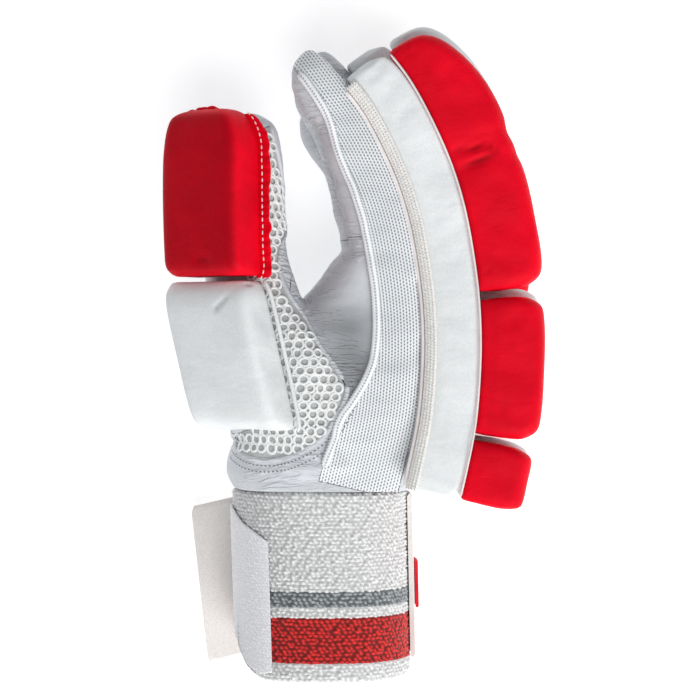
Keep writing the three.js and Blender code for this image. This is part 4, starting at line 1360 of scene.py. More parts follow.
class GLOVE_OT_finger_pads(bpy.types.Operator):
    """White bars along the fingers' backs and the padded rolls on them"""

    bl_idname = "glove.finger_pads"
    bl_label = "Finger pads"

    def execute(self, context):
        sizes = context.scene.glove_sizes
        pads = []
        for finger in FINGERS:
            for block in BACK_BLOCKS:
                points, faces, seat = back_pad(finger, block, sizes.pad_shrink)
                name = f"{finger.name}_{block.name}"
                slot = block.slot or finger.colour
                pads.append((new_object(f"{name}_cover", points, faces), seat, name, slot))
        inflate([(obj, seat) for obj, seat, _, _ in pads], sizes)
        for obj, _, name, slot in pads:
            refine(obj)
            # Painted shade in the grooves of the darts.
            crease = np.zeros(len(obj.data.vertices))
            if name.endswith("finger_roll"):
                finger = next(finger for finger in FINGERS if name.startswith(finger.name))
                for dart in ROLL_DARTS:
                    for side in (-1, 1):
                        path = dart_path(finger, BACK_BLOCKS[-1], dart, side)
                        crease = np.maximum(crease, groove(obj, path, dart.width, dart.depth) * dart.dark)
            set_share(obj, "crease", crease)
            finish_piece(obj, MATERIALS[slot], slot, name, sharp=SOFT)
        return {"FINISHED"}


class GLOVE_OT_thumb_pads(bpy.types.Operator):
    """The two padded blocks on the outer side of the thumb"""

    bl_idname = "glove.thumb_pads"
    bl_label = "Thumb pads"

    def dart(self, obj, block):
        """Short sewn dart at the upper corner of the pad, and the painted shade in its groove."""
        half = block.width / 2
        spots = []
        for share in np.linspace(0, 1, 12):
            middle = thumb_pad_place(block, 0.985 - 0.18 * share)
            rise = THUMB_PAD_WALL * read_table(block.rows, "rise", 0.985 - 0.18 * share)
            spots.append(middle + THUMB_ACROSS * (half - 1 - 15 * share)
                         + THUMB_OUTWARD * (rise - 6 * (1 - share) ** 2))
        return groove(obj, spots, 1.0, 1.2) * 0.5

    def execute(self, context):
        sizes = context.scene.glove_sizes
        pads = []
        for block in THUMB_BLOCKS:
            points, faces, seat = thumb_pad(block, sizes.pad_shrink)
            pads.append((new_object(f"{block.name}_cover", points, faces), seat, block))
        inflate([(obj, seat) for obj, seat, _ in pads], sizes)
        for obj, _, block in pads:
            refine(obj)
            # Painted shade: the red pad's outward face is painted darker than its side wall, and the dart and
            # the dimple get painted shade in their grooves.
            facing = mesh_normals(obj) @ THUMB_OUTWARD
            face = np.clip((facing - 0.35) / 0.5, 0, 1)
            crease = face * (sizes.tip_pad_painted_shade if block.slot == "red_cover" else 0)
            if block.slot == "white_cover":
                crease = np.maximum(crease, self.dart(obj, block))
            else:
                middle = thumb_pad_place(block, 0.1) + THUMB_OUTWARD * THUMB_PAD_WALL
                dimple = [middle + THUMB_ACROSS * across for across in (1.0, 2.5, 4.0)]
                crease = np.maximum(crease, groove(obj, dimple, 3.0, 0.7) * 0.85)
            set_share(obj, "crease", crease)
            finish_piece(obj, MATERIALS[block.slot], block.slot, block.name, sharp=SOFT)
        return {"FINISHED"}


# Threads, stitches and trims

def open_tree(name, **sizes):
    """Tree with a geometry, its named sizes and a material as inputs, and those inputs."""
    tree = bpy.data.node_groups.new(name, "GeometryNodeTree")
    tree.interface.new_socket("Geometry", in_out="INPUT", socket_type="NodeSocketGeometry")
    for size, value in sizes.items():
        socket = tree.interface.new_socket(size, in_out="INPUT", socket_type="NodeSocketFloat")
        socket.default_value = value
    tree.interface.new_socket("Material", in_out="INPUT", socket_type="NodeSocketMaterial")
    tree.interface.new_socket("Geometry", in_out="OUTPUT", socket_type="NodeSocketGeometry")
    return tree, tree.nodes.new("NodeGroupInput").outputs


def placed_on(tree, points, instance, turn, size):
    """Instances of a form on points, each turned and sized."""
    inputs = {"Points": points, "Instance": instance, "Rotation": turn, "Scale": size}
    return node(tree, "GeometryNodeInstanceOnPoints", inputs).outputs[0]


def stitch_tree():
    """Stitches set along lines: a rounded bead at each step, turned along the line."""
    tree, given = open_tree("stitch rows", Step=0.0025, Length=0.0018, Thread=0.0006, Lean=0.0)
    line = node(tree, "GeometryNodeMeshToCurve", {0: given["Geometry"]}).outputs[0]
    steps = {"Curve": line, "Length": given["Step"]}
    even = node(tree, "GeometryNodeResampleCurve", steps, mode="LENGTH").outputs[0]
    ahead = node(tree, "GeometryNodeInputTangent").outputs[0]
    turn = node(tree, "FunctionNodeAlignRotationToVector", {"Vector": ahead}, axis="Z").outputs[0]
    lean = node(tree, "ShaderNodeCombineXYZ", {0: given["Lean"]}).outputs[0]
    tilt = node(tree, "FunctionNodeRotateRotation", {"Rotation": turn, "Rotate By": lean},
                rotation_space="LOCAL").outputs[0]
    bead = node(tree, "GeometryNodeMeshUVSphere", {"Segments": 6, "Rings": 5, "Radius": 0.5}).outputs[0]
    sides = {0: given["Thread"], 1: given["Thread"], 2: given["Length"]}
    size = node(tree, "ShaderNodeCombineXYZ", sides).outputs[0]
    close_tree(tree, placed_on(tree, even, bead, tilt, size), given["Material"])
    return tree


def ring_tree():
    """Rings of thread, one on each point, facing the way that the point's attribute says."""
    tree, given = open_tree("net rings", Radius=0.002, Thread=0.0004, Uneven=0.1)
    facing = node(tree, "GeometryNodeInputNamedAttribute", {"Name": "facing"},
                  data_type="FLOAT_VECTOR").outputs[0]
    turn = node(tree, "FunctionNodeAlignRotationToVector", {"Vector": facing}, axis="Z").outputs[0]
    circle, thread = (
        node(tree, "GeometryNodeCurvePrimitiveCircle", {"Resolution": sides, "Radius": radius}).outputs[0]
        for sides, radius in ((14, given["Radius"]), (6, given["Thread"]))
    )
    ring = node(tree, "GeometryNodeCurveToMesh", {"Curve": circle, "Profile Curve": thread}).outputs[0]
    least = node(tree, "ShaderNodeMath", {0: 1.0, 1: given["Uneven"]}, operation="SUBTRACT").outputs[0]
    size = node(tree, "FunctionNodeRandomValue", {0: least, 1: (1.12, 1.06, 0.7), "Seed": 5},
                data_type="FLOAT_VECTOR").outputs[0]
    close_tree(tree, placed_on(tree, given["Geometry"], ring, turn, size), given["Material"])
    return tree


def close_tree(tree, instances, material):
    """Makes the instances real, gives them their material and hands them out."""
    real = node(tree, "GeometryNodeRealizeInstances", {0: instances}).outputs[0]
    coloured = node(tree, "GeometryNodeSetMaterial", {"Geometry": real, "Material": material}).outputs[0]
    out = tree.nodes.new("NodeGroupOutput")
    tree.links.new(coloured, out.inputs[0])


TREES = {}


def grown_by(obj, kind, **values):
    """Puts the result of one of the trees into the object's mesh."""
    if kind not in TREES:
        TREES[kind] = stitch_tree() if kind == "stitches" else ring_tree()
    modifier = obj.modifiers.new(kind, "NODES")
    modifier.node_group = TREES[kind]
    for socket in TREES[kind].interface.items_tree:
        if socket.in_out == "INPUT" and socket.name in values:
            modifier[socket.identifier] = values[socket.name]
    return bake(obj)


def stitches(name, lines, material, step=2.6, length=1.9, thread=0.6, lean=0.0, slot="soft_leather"):
    """Rows of stitches along lines of points."""
    points, edges = [], []
    for line in lines:
        start = len(points)
        points += [tuple(point) for point in line]
        edges += [(start + k, start + k + 1) for k in range(len(line) - 1)]
    obj = new_object(name, np.array(points), [], edges)
    grown_by(obj, "stitches", Step=step / 1000, Length=length / 1000, Thread=thread / 1000, Lean=lean,
             Material=MATERIALS[material])
    return finish_piece(obj, MATERIALS[material], slot, sharp=SOFT)


def sweep(name, points, out, width, height, material, slot, sides=10, taper=3):
    """Rounded band along a line on the skin, thinner at its ends."""
    points = np.asarray(points, float)
    cross = unit(np.cross(directions(points), out))
    count = len(points)
    ends = np.minimum(np.arange(count), np.arange(count)[::-1]) / taper
    size = np.sqrt(np.clip(1 - (1 - np.clip(ends, 0, 1)) ** 2, 0.02, 1))
    angle = 2 * math.pi * np.arange(sides) / sides
    rings = points[:, None] + size[:, None, None] * (
        cross[:, None] * (np.cos(angle) * width / 2)[None, :, None]
        + out[:, None] * (np.sin(angle) * height / 2)[None, :, None])
    body, faces = loft(rings)
    obj = new_object(name, body, faces)
    lengths = travel(points)
    uv = np.stack([np.repeat(lengths, sides), np.tile(np.cos(angle) * width / 2, count)], axis=1)
    set_uv(obj, np.concatenate([uv, [[0, 0], [lengths[-1], 0]]]))
    return finish_piece(obj, MATERIALS[material], slot, sharp=SOFT)


def seam_outline(line, depths, start, end):
    """Line at a depth inside a back seam, between two places along it."""
    found = []
    for along in np.arange(start, end, 0.01):
        point, outward, _ = line.at(along)
        found.append(point - outward * depths(along))
    return np.array(found)


class GLOVE_OT_side_trims(bpy.types.Operator):
    """Bindings and welts along both edges of the knitted sides"""

    bl_idname = "glove.side_trims"
    bl_label = "Side trims"

    def tape(self, finger, side, width):
        """Stations of the tape that covers the seam, from the knit up onto the bar's wall."""
        line = SEAM_LINES[finger.name]
        half_width = (FINGER_PITCH - ROLL_GAP) / 2
        lows, highs = [], []
        for along in np.arange(0.014, 0.985, 0.006):
            point, outward, _ = line.at(along)
            inner, outer = point - outward * width * 0.55, point + outward * width * 0.45
            wall = side * finger_centre(finger, along) + half_width + 0.1
            skin = side * SKIN["hand"].under(*inner, side)[0][1] + 0.2
            lows.append((inner[0], side * max(skin, wall - 2.6), inner[1]))
            highs.append((outer[0], side * wall, outer[1]))
        lows, highs = np.array(lows), np.array(highs)
        for _ in range(12):
            lows[1:-1] = (lows[:-2] + 2 * lows[1:-1] + lows[2:]) / 4
        out = np.cross(directions(highs), highs - lows)
        out *= (side * np.sign(out[:, 1]) / np.linalg.norm(out, axis=1))[:, None]
        return list(zip(lows, highs, out))

    def roll_highlight_piping(self, finger, side):
        """Thin pale pink cord where the rolls sit on the bar: partly a real cord, partly standing in for the
        highlight along the rolls' seat, its pink a painted reflection of the red rolls.
        """
        line = SEAM_LINES[finger.name]
        spots = []
        for along in np.arange(0.02, 0.985, 0.006):
            point, outward, _ = line.at(along)
            across = side * ((FINGER_PITCH - ROLL_GAP) / 2 - 0.75)
            place = point + outward * (ROLL_SEAT - 0.75)
            spots.append((place[0], finger_centre(finger, along) + across, place[1]))
        out = np.tile([0.0, side, 0.0], (len(spots), 1))
        sweep(f"{finger.name}_roll_piping", spots, out, 1.0, 1.3, "piping", "white_cover", sides=8)

    def execute(self, context):
        sizes = context.scene.glove_sizes
        skin = SKIN["hand"]
        for finger, side in ((FINGERS[0], -1), (FINGERS[-1], 1)):
            line = SEAM_LINES[finger.name]
            tape = self.tape(finger, side, sizes.binding_width)
            points, faces, _ = band_mesh(tape, 1.0, 12, 0.5)
            binding = new_object(f"{finger.name}_binding", points, faces)
            finish_piece(binding, MATERIALS["binding"], "side_knit", sharp=SOFT)

            def over(share, off):
                return np.array([low + (high - low) * share + out * off for low, high, out in tape])

            rows = [over(0.12, 1.0), over(0.36, 1.4), over(0.6, 1.4), over(0.84, 1.15)]
            stitches(f"{finger.name}_chain_stitches", rows, "binding", 1.3, 1.9, 0.8, side * 0.7, "side_knit")
            out = np.array([out for _, _, out in tape])
            sweep(f"{finger.name}_piping", over(-0.17, 0.35), out, 1.5, 1.7, "piping", "side_knit")
            self.roll_highlight_piping(finger, side)

            def depths(along):
                return read_table(KNIT_SIDE_ROWS, "wide", along) * KNIT_SIDE_WIDTH - 0.4

            welt = seam_outline(line, depths, 0.015, 1.08)
            places, out = skin.lay(welt, 0.6, side)
            sweep(f"{finger.name}_welt", places, out, sizes.welt_width, 3.4, "rib", "side_knit", sides=14)
        return {"FINISHED"}


def inside_outline(outline, x, z):
    """Whether a point lies in an outline."""
    inside = False
    for (ax, az), (bx, bz) in zip(outline, np.roll(outline, -1, axis=0)):
        if (az > z) != (bz > z) and x < (bx - ax) * (z - az) / (bz - az) + ax:
            inside = not inside
    return inside


class GLOVE_OT_net(bpy.types.Operator):
    """Open net of thread rings over the thumb's mesh panel"""

    bl_idname = "glove.net"
    bl_label = "Open net"

    def execute(self, context):
        sizes = context.scene.glove_sizes
        skin = SKIN["hand"]
        outline = grown(spaced_outline(MESH_OUTLINE), -0.8)
        low, high = outline.min(axis=0), outline.max(axis=0)
        points, facing = [], []
        rise = sizes.net_pitch * math.sqrt(3) / 2
        for row, z in enumerate(np.arange(low[1], high[1], rise)):
            xs = np.arange(low[0] - 6, high[0] + 6, 0.4)
            hits = [skin.under(x, z) for x in xs]
            places = np.array([hit for hit, _ in hits])
            lengths = travel(places)
            along = min(max((z - CUFF_HEIGHT - THUMB_ROOT) / THUMB_LENGTH, 0), 1)
            origin = np.interp(-read_table(THUMB_ROWS, "out", along) * THUMB_REACH, xs, lengths)
            first = math.ceil(-origin / sizes.net_pitch)
            for k in range(first, first + int(lengths[-1] / sizes.net_pitch) + 1):
                uneven = 0.22 * (scatter(k, row, 127.1) - 0.5)
                place = origin + (k + row % 2 / 2 + uneven) * sizes.net_pitch
                if not 0 < place < lengths[-1]:
                    continue
                x = np.interp(place, lengths, xs)
                if inside_outline(outline, x, z):
                    hit, normal = skin.under(x, z)
                    points.append(hit + normal * 0.35)
                    facing.append((normal[0], normal[2], -normal[1]))
        obj = new_object("thumb_mesh_net", np.array(points), [])
        layer = obj.data.attributes.new("facing", "FLOAT_VECTOR", "POINT")
        layer.data.foreach_set("vector", np.array(facing).ravel())
        grown_by(obj, "rings", Radius=sizes.net_pitch / 2000, Thread=sizes.net_thread / 2000, Uneven=0.22,
                 Material=MATERIALS["net"])
        finish_piece(obj, MATERIALS["net"], "open_mesh", sharp=SOFT)
        return {"FINISHED"}


class GLOVE_OT_leather_seams(bpy.types.Operator):
    """Welt and double stitching below the open mesh, and the seams of the thumb"""

    bl_idname = "glove.leather_seams"
    bl_label = "Leather seams"

    def execute(self, context):
        skin = SKIN["hand"]
        outline = spaced_outline(MESH_OUTLINE)
        lower = [k for k, (_, z) in enumerate(outline) if z < up_hand(0.27) and k < len(outline) * 0.72]

        def edge(margin):
            return grown(outline, margin)[lower[0]:lower[-1] + 1]

        places, out = skin.lay(edge(1.0), 0.1)
        sweep("mesh_edge_welt", places, out, 2.4, 1.6, "leather", "soft_leather")
        rows = [skin.lay(edge(margin), 0.15)[0] for margin in (3.4, 6.0)]
        stitches("mesh_edge_stitches", rows, "grey_thread", 1.9, 1.0, 0.6)
        upper = grown(outline, 0.6)[:lower[0]]
        places, out = skin.lay(upper, 0.1)
        sweep("mesh_side_welt", places, out, 2.2, 1.6, "leather", "soft_leather")
        return {"FINISHED"}


class GLOVE_OT_pad_trims(bpy.types.Operator):
    """Flange, piping and stitches along the edges of the thumb's pads"""

    bl_idname = "glove.pad_trims"
    bl_label = "Pad trims"

    def execute(self, context):
        tip, base = THUMB_BLOCKS
        rings, line = [], []
        count = 90
        for k in range(count):
            along = 0.965 * k / (count - 1)
            middle = thumb_pad_place(tip, along)
            edge = tip.width / 2 * read_table(tip.rows, "wide", along) - 0.9
            fold = noise.noise(Vector((k * 0.2, 3.1, 0))) + 0.5 * noise.noise(Vector((k * 0.6, 8.4, 0)))
            uneven = noise.noise(Vector((k * 0.17, 0.7, 4.0)))
            uneven += 0.35 * noise.noise(Vector((k * 0.5, 5.7, 4.0)))
            full = min(1, (1.02 - along) / 0.16)
            wave = 1.1 * fold * full
            reach = (3.7 + 1.1 * uneven) * full + 0.7
            root = middle + THUMB_ACROSS * (edge - 2.6) + THUMB_OUTWARD * 1.2
            rim = middle + THUMB_ACROSS * (edge + reach) + THUMB_OUTWARD * (1.6 + wave)
            thick = THUMB_OUTWARD * 0.55
            half = (root + rim) / 2 + THUMB_OUTWARD * (wave * 0.3)
            rings.append([root - thick, half - thick, rim - thick, rim + (rim - root) * 0.06, rim + thick,
                          half + thick, root + thick])
            line.append(middle + THUMB_ACROSS * (edge + 1.1) + THUMB_OUTWARD * (2.15 + wave * 0.35))
        points, faces = loft(np.array(rings))
        flange = refine(new_object("thumb_tip_pad_flange", points, faces))
        finish_piece(flange, MATERIALS["red_cover"], "red_cover", sharp=SOFT)
        stitches("thumb_tip_pad_stitches", [line], "thread", 2.7, 1.9, 0.62, slot="red_cover")
        gathers = []
        for across in np.linspace(-12, 8, 60):
            ripple = noise.noise(Vector((across * 0.4, 2.3, 0)))
            end = thumb_pad_place(tip, 1.0) + THUMB_ACROSS * across + THUMB_OUTWARD * (9 + 1.5 * ripple)
            end[2] += 0.9 * ripple - 0.3 - 0.02 * across ** 2
            gathers.append(end)
        out = np.tile([0.0, 0.0, 1.0], (len(gathers), 1))
        sweep("thumb_tip_pad_gathers", gathers, out, 2.6, 2.0, "red_cover", "red_cover", sides=10, taper=12)
        line = []
        for along in np.linspace(0.0, 1.0, 60):
            edge = base.width / 2 * read_table(base.rows, "wide", along)
            middle = thumb_pad_place(base, along)
            line.append(middle + THUMB_ACROSS * (edge + 0.5) + THUMB_OUTWARD * 0.9)
        out = np.tile(THUMB_OUTWARD, (len(line), 1))
        sweep("thumb_base_pad_piping", line, out, 1.7, 1.7, "white_cover", "white_cover")
        return {"FINISHED"}


# Wristband, its loop panel, its strap and the patch

def cuff_angles(count):
    """Angles round the wristband at an even spacing, and its length round."""
    dense = np.linspace(0, 2 * math.pi, 2001)
    places, _ = cuff_places(dense, np.zeros(2001), np.full(2001, 0.5))
    lengths = travel(places)
    return np.interp(np.linspace(0, lengths[-1], count, endpoint=False), lengths, dense), lengths[-1]


def scatter(column, row, seed):
    """Even spread of numbers from nought to one, one for each loop."""
    mess = np.sin(column * seed + row * 311.7) * 43758.5453
    return mess - np.floor(mess)


def loop_heights(round_way, up, pitch, rise):
    """Height from nought to one of the small slanted loops of towelling."""
    best = np.zeros(np.broadcast(round_way, up).shape)
    for above in (-1, 0, 1):
        row = np.floor(up / rise) + above
        shifted = round_way + np.where(row % 2 == 0, 0, pitch / 2)
        for beside in (-1, 0, 1):
            column = np.floor(shifted / pitch) + beside
            mess, other = scatter(column, row, 127.1), scatter(column, row, 269.5)
            across = shifted - (column + 0.5 + 0.45 * (mess - 0.5)) * pitch
            over = up - (row + 0.5 + 0.4 * (other - 0.5)) * rise
            turn = 0.9 * (other - 0.5) - 0.45
            along = across * np.cos(turn) + over * np.sin(turn)
            off = over * np.cos(turn) - across * np.sin(turn)
            loop = np.exp(-(along / (0.42 * pitch)) ** 2 - (off / (0.34 * rise)) ** 2)
            best = np.maximum(best, loop * (0.6 + 0.4 * mess))
    return best


def rounded_mouth(points):
    """The wristband's lower rim, rounded up towards its palm side."""
    points = np.array(points, float)
    near = np.clip(1 - (points[..., 0] - MOUTH_EDGE) / MOUTH_ROUND, 0, 1)
    lift = MOUTH_ROUND * (1 - np.sqrt(1 - near ** 2))
    points[..., 2] += lift * np.clip(1 - points[..., 2] / MOUTH_REACH, 0, 1) ** 2
    return points


class GLOVE_OT_wristband(bpy.types.Operator):
    """Towelling wristband with its loops, bands and soft rims"""

    bl_idname = "glove.wristband"
    bl_label = "Wristband"

    def execute(self, context):
        sizes = context.scene.glove_sizes
        angles, length = cuff_angles(int(250 / sizes.loop_step))
        count = len(angles)
        round_way = np.arange(count) * length / count
        outer, inner, shares, patterns = [], [], [], []
        rows = int(CUFF_HEIGHT / sizes.loop_step)
        for k in range(rows + 1):
            up = k / rows
            z = up * CUFF_HEIGHT
            loops = loop_heights(round_way, np.full(count, z), sizes.loop_pitch, sizes.loop_rise)
            rim = min(z, CUFF_HEIGHT - z)
            roll = -1.2 * max(0, 1 - rim / 1.6) ** 2
            slow = 0.35 * np.sin(round_way / 9 + 0.7 * np.sin(z / 11))
            slow = slow * math.exp(-((z - CUFF_HEIGHT) / 12) ** 2)
            off = (loops - 0.8) * sizes.loop_depth + roll + slow
            places, _ = cuff_places(angles, off, np.full(count, up))
            outer.append(places)
            shares.append(loops)
            patterns.append(np.stack([round_way, np.full(count, z)], axis=1))
        inner_rows = np.linspace(0.004, 0.996, 40)
        for up in inner_rows:
            off = -CUFF_WALL + 0.25 * np.sin(round_way * 2.6) * np.sin(up * 200)
            places, _ = cuff_places(angles, off, np.full(count, up))
            inner.append(places)
        points, faces = tube_wall(np.array(outer), np.array(inner))
        obj = new_object("wristband_towelling", rounded_mouth(points), faces)
        inner_count = len(inner_rows) * count
        set_share(obj, "loops", np.concatenate([np.concatenate(shares), np.full(inner_count, 0.55)]))
        set_share(obj, "outside", np.concatenate([np.ones((rows + 1) * count), np.zeros(inner_count)]))
        inside = np.zeros((inner_count, 2))
        set_uv(obj, np.concatenate([np.concatenate(patterns), inside]))
        finish_piece(obj, MATERIALS["towelling"], "towelling", "wristband", sharp=SOFT)
        return {"FINISHED"}


def band_mesh(stations, thickness, across, crown=0.0, fade=0, relief=None):
    """Soft band of cloth: each station has its lower and upper edge and its direction out.

    It may be crowned, thin out over its last stations, and have tufts of a height on its
    outside. The tufts' heights come back too."""
    rings, shares = [], []
    share = np.linspace(0, 1, across)
    lengths = travel(np.array([low for low, _, _ in stations]))
    edge = np.minimum(share, 1 - share) * np.linalg.norm(stations[0][1] - stations[0][0])
    round_over = np.sqrt(np.clip(1 - (1 - np.clip(edge / (thickness * 0.5), 0, 1)) ** 2, 0, 1))
    for k, (low, high, out) in enumerate(stations):
        line = low + share[:, None] * (high - low)
        thin = math.sqrt(min(1, (len(stations) - k) / fade)) if fade else 1
        half = thickness / 2
        tuft = relief(lengths[k], line[:, 2]) if relief else np.zeros(across)
        rise = half * thin * round_over * (1 + tuft) + crown * 4 * share * (1 - share)
        top = line + out * (half + (rise - half * (1 - thin)))[:, None]
        under = line + out * (half * (1 - round_over))[:, None]
        rings.append(np.concatenate([top, under[1:-1][::-1]]))
        shares.append(np.concatenate([tuft, np.zeros(across - 2)]))
    points, faces = loft(rings)
    return points, faces, np.concatenate([*shares, [0, 0]])


def cuff_station(side, off, low, high):
    """Lower and upper place over one of the wristband's sides, and the direction out."""
    angle = np.array([2 * math.pi * side / CUFF_SIDES] * 2)
    places, out = cuff_places(angle, np.array([off, off]), np.array([low, high]) / CUFF_HEIGHT)
    return places[0], places[1], out[0]


def strap_stations():
    """Stations of the strap, round the wristband and out along its tail."""
    top = CUFF_HEIGHT - STRAP_TOP_CLEARANCE
    bottom = top - STRAP_WIDTH
    stations = [cuff_station(side, GAP, bottom, top) for side in np.arange(-1, 9.01, 0.25)]
    low, high, out = stations[-1]
    forward = np.cross([0, 0, 1], out)
    lows, highs = [low], [high]
    turns = [0]
    for row in TAIL_ROWS:
        for found, start in ((lows, low), (highs, high)):
            share = 1 if start is high else STRAP_LOW_EDGE_SHARE
            place = start + forward * row.along * STRAP_TAIL * share
            place[2] -= row.droop * STRAP_DROOP
            found.append(place)
        turns.append(row.turn)
    lows, highs = smooth_line(lows, 8), smooth_line(highs, 8)
    angles = np.radians(np.interp(np.linspace(0, len(turns) - 1, len(lows)), range(len(turns)), turns))
    for k in range(1, len(lows)):
        turned = np.array([
            out[0] * math.cos(angles[k]) - out[1] * math.sin(angles[k]),
            out[0] * math.sin(angles[k]) + out[1] * math.cos(angles[k]),
            0,
        ])
        narrow = 3 * max(0, (k - (len(lows) - 5)) / 4) ** 2
        stations.append((lows[k] + [0, 0, narrow], highs[k] - [0, 0, narrow], turned))
    return stations


class GLOVE_OT_fastening(bpy.types.Operator):
    """Loop panel, strap and the coloured patch on the strap"""

    bl_idname = "glove.fastening"
    bl_label = "Fastening"

    def execute(self, context):
        sizes = context.scene.glove_sizes
        panel = []
        for side in np.arange(12.5, 21.3, 0.06):
            low, high = (
                LOOP_PANEL_ROOT + read_table(LOOP_PANEL_ROWS, column, side) * LOOP_PANEL_HEIGHT
                for column in ("low", "high")
            )
            panel.append(cuff_station(side, 0, low, high))

        def tufts(round_way, up):
            return loop_heights(round_way, up, sizes.tuft_pitch, sizes.tuft_pitch * 0.75)

        points, faces, shares = band_mesh(panel, LOOP_PANEL_WALL * 0.8, 150, 0, 22, tufts)
        panel = new_object("loop_panel_cloth", rounded_mouth(points), faces)
        set_share(panel, "loops", shares)
        set_share(panel, "outside", np.zeros(len(points)))
        finish_piece(panel, MATERIALS["loop"], "loop_cloth", "loop_panel", sharp=SOFT)
        stations = strap_stations()
        points, faces, _ = band_mesh(stations, STRAP_WALL, 60)
        strap = new_object("strap_velour", points, faces)
        finish_piece(strap, MATERIALS["velour"], "velour", "strap")
        tail = stations[-38:-1]
        rows = [
            np.array([low + (high - low) * share + out * STRAP_THREAD_OFF for low, high, out in tail])
            for share in (0.025, 0.975)
        ]
        low, high, out = stations[-3]
        end = np.linspace(low + (high - low) * 0.03, high - (high - low) * 0.03, 80)
        rows.append(end + out * STRAP_THREAD_OFF)
        stitches("strap_stitches", rows, "strap_thread", 1.5, 0.9, 0.5, slot="velour")
        middle = CUFF_HEIGHT - STRAP_TOP_CLEARANCE - STRAP_WIDTH / 2 - PATCH_DROP
        low, high = middle - PATCH_WIDTH / 2, middle + PATCH_WIDTH / 2
        off = STRAP_WALL + 2 * GAP
        patch = [cuff_station(side, off, low, high) for side in np.arange(-0.5, 6.61, 0.15)]
        points, faces, _ = band_mesh(patch, PATCH_WALL, 40)
        patch = new_object("strap_patch_cloth", points, faces)
        finish_piece(patch, MATERIALS["red_cloth"], "red_cover", "strap_patch")
        return {"FINISHED"}


# Floor, lights and camera

class GLOVE_OT_stage(bpy.types.Operator):
    """Pale floor, soft lights and the camera"""

    bl_idname = "glove.stage"
    bl_label = "Stage"

    def execute(self, context):
        scene = context.scene
        mesh = bpy.data.meshes.new("floor")
        corners = [(x * FLOOR_REACH, y * FLOOR_REACH, 0) for x, y in ((-1, -1), (1, -1), (1, 1), (-1, 1))]
        mesh.from_pydata(corners, [], [(0, 1, 2, 3)])
        floor = bpy.data.objects.new("floor", mesh)
        scene.collection.objects.link(floor)
        material, _, shader, _ = new_material("pale floor", FLOOR_COLOUR, 0.9)
        shader.inputs["Emission Color"].default_value = PURE_WHITE
        shader.inputs["Emission Strength"].default_value = FLOOR_GLOW
        mesh.materials.append(material)
        world = bpy.data.worlds.new("soft surround")
        world.use_nodes = True
        surround = world.node_tree.nodes["Background"]
        surround.inputs["Color"].default_value = SURROUND_COLOUR
        surround.inputs["Strength"].default_value = SURROUND_STRENGTH
        scene.world = world
        for row in LIGHTS:
            light = bpy.data.lights.new(row.name, "SUN")
            light.angle = math.radians(row.spread)
            light.energy = row.strength
            obj = bpy.data.objects.new(row.name, light)
            obj.location = row.place
            obj.rotation_euler = (-Vector(row.place)).to_track_quat("-Z", "Y").to_euler()
            scene.collection.objects.link(obj)
        camera = bpy.data.cameras.new("camera")
        camera.lens = CAMERA_LENS
        camera.sensor_width = SENSOR_WIDTH
        obj = bpy.data.objects.new("camera", camera)
        obj.location = CAMERA_PLACE
        scene.collection.objects.link(obj)
        scene.camera = obj
        scene.view_settings.view_transform = "Standard"
        return {"FINISHED"}


# Sizes, colours and the panel

def millimetres(name, default, description):
    """Size in the hand's millimetres."""
    return bpy.props.FloatProperty(name=name, default=default, description=description, min=0)


def share_prop(name, default, description):
    """Number from nought to one."""
    return bpy.props.FloatProperty(
        name=name, default=default, description=description, subtype="FACTOR", min=0, max=1)


def colour(name, default, description):
    """Colour that the user may pick."""
    return bpy.props.FloatVectorProperty(
        name=name, default=default, subtype="COLOR", size=3, min=0, max=1, description=description)


class GloveSizes(bpy.types.PropertyGroup):
    skin_step: millimetres("Skin step", 1.4, "Size of the faces of the leather and knit, in mm")
    fold_depth: millimetres("Fold depth", 0.7, "Depth of the soft folds in the leather, in mm")
    # Painted shade on the outward face of the red thumb pad.
    tip_pad_painted_shade: share_prop("Tip pad shade", 0.62, "How much darker the face of the red thumb pad is")
    pad_shrink: millimetres("Pad shrink", 0.9, "How much smaller a pad starts before it swells, in mm")
    pad_swell: millimetres("Pad swell", 1.1, "Most that a pad's cover moves as it swells, in mm")
    pad_pressure: bpy.props.FloatProperty(
        name="Pad pressure", default=4.0, description="Pressure inside the pads as they swell", min=0)
    pad_slack: share_prop("Pad slack", 0.006, "Share by which a pad's cover is cut larger than its filling")
    binding_width: millimetres("Binding width", 5.0, "Width of the tape along the back seams, in mm")
    welt_width: millimetres("Welt width", 4.0, "Width of the rolled edge of the knit, in mm")
    net_pitch: millimetres("Net pitch", 4.2, "Distance between the rings of the open mesh, in mm")
    net_thread: millimetres("Net thread", 1.35, "Thickness of the strands of the open mesh, in mm")
    loop_step: millimetres("Loop step", 0.56, "Size of the faces of the towelling, in mm")
    loop_pitch: millimetres("Loop pitch", 2.4, "Distance between loops round the wristband, in mm")
    loop_rise: millimetres("Loop rise", 1.6, "Distance between rows of loops, in mm")
    tuft_pitch: millimetres("Tuft pitch", 1.7, "Distance between the tufts of the loop panel, in mm")
    loop_depth: millimetres("Loop depth", 1.7, "Height of the loops, in mm")


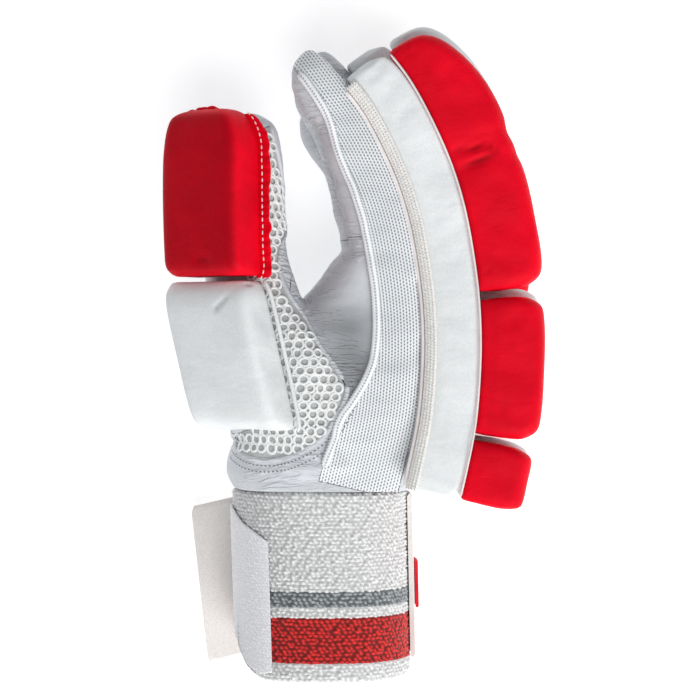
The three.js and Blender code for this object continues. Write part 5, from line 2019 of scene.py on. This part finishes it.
class GloveLooks(bpy.types.PropertyGroup):
    red: colour("Red", (0.8, 0.002, 0.016), "Red covers")
    white: colour("White", (0.84, 0.86, 0.86), "White covers")
    leather: colour("Leather", (0.68, 0.7, 0.73), "Soft leather")
    knit: colour("Knit", (0.86, 0.88, 0.9), "Knitted sides")
    # Colour of the painted shade in the gaps between the knit's stitches.
    knit_gap_shade: colour("Knit gap", (0.2, 0.21, 0.22), "Gaps between the stitches of the knit")
    mesh_ground: colour("Mesh ground", (0.52, 0.53, 0.52), "Cloth under the open mesh")
    strand: colour("Strand", (0.88, 0.89, 0.88), "Strands of the open mesh")
    towelling: colour("Towelling", (0.98, 0.98, 0.97), "Wristband")
    band_red: colour("Red band", (0.95, 0.03, 0.025), "Red band of the wristband")
    band_grey: colour("Grey stripe", (0.46, 0.5, 0.51), "Grey stripe of the wristband")
    loop_cloth: colour("Loop panel", (0.99, 0.98, 1.0), "Loop panel of the wristband")
    velour: colour("Velour", (0.94, 0.89, 0.85), "Strap")
    leather_gap: colour("Needle holes", (0.2, 0.21, 0.22), "Dark stitches sunk in the leather")
    # Pale pink: partly the piping's colour, partly a painted reflection of the red rolls beside it.
    piping: colour("Piping", (0.95, 0.87, 0.86), "Piping beside the seam bindings")
    thread: colour("Thread", (0.9, 0.9, 0.88), "Stitching")
    binding: colour("Binding", (0.95, 0.93, 0.89), "Seam bindings")
    wale: millimetres("Wale", 1.3, "Distance between the knit's columns, in mm")
    course: millimetres("Course", 1.5, "Distance between the knit's rows, in mm")
    red_low: millimetres("Red band low", 8.0, "Lower edge of the red band, in mm")
    red_top: millimetres("Red band top", 27.5, "Upper edge of the red band, in mm")
    grey_low: millimetres("Grey stripe low", 32.0, "Lower edge of the grey stripe, in mm")
    grey_top: millimetres("Grey stripe top", 38.5, "Upper edge of the grey stripe, in mm")


class GLOVE_OT_materials(bpy.types.Operator):
    """Materials of all the glove's pieces"""

    bl_idname = "glove.materials"
    bl_label = "Materials"

    def execute(self, context):
        make_materials(context.scene.glove_looks)
        return {"FINISHED"}


STEPS = [
    GLOVE_OT_stage,
    GLOVE_OT_materials,
    GLOVE_OT_hand,
    GLOVE_OT_side_trims,
    GLOVE_OT_net,
    GLOVE_OT_leather_seams,
    GLOVE_OT_finger_pads,
    GLOVE_OT_thumb_pads,
    GLOVE_OT_pad_trims,
    GLOVE_OT_wristband,
    GLOVE_OT_fastening,
]


class GLOVE_PT_panel(bpy.types.Panel):
    """Steps that build the glove"""

    bl_idname = "GLOVE_PT_panel"
    bl_label = "Batting glove"
    bl_space_type = "VIEW_3D"
    bl_region_type = "UI"
    bl_category = "Glove"

    def draw(self, context):
        for step in STEPS:
            self.layout.operator(step.bl_idname)
        for group in (context.scene.glove_sizes, context.scene.glove_looks):
            for name in group.bl_rna.properties.keys():
                if name not in ("rna_type", "name"):
                    self.layout.prop(group, name)


CLASSES = [GloveSizes, GloveLooks, *STEPS, GLOVE_PT_panel]


def register():
    for made in CLASSES:
        bpy.utils.register_class(made)
    bpy.types.Scene.glove_sizes = bpy.props.PointerProperty(type=GloveSizes)
    bpy.types.Scene.glove_looks = bpy.props.PointerProperty(type=GloveLooks)


def unregister():
    del bpy.types.Scene.glove_looks
    del bpy.types.Scene.glove_sizes
    for made in reversed(CLASSES):
        bpy.utils.unregister_class(made)


def main():
    register()
    for step in STEPS:
        family, name = step.bl_idname.split(".")
        getattr(getattr(bpy.ops, family), name)()


if __name__ == "__main__":
    main()
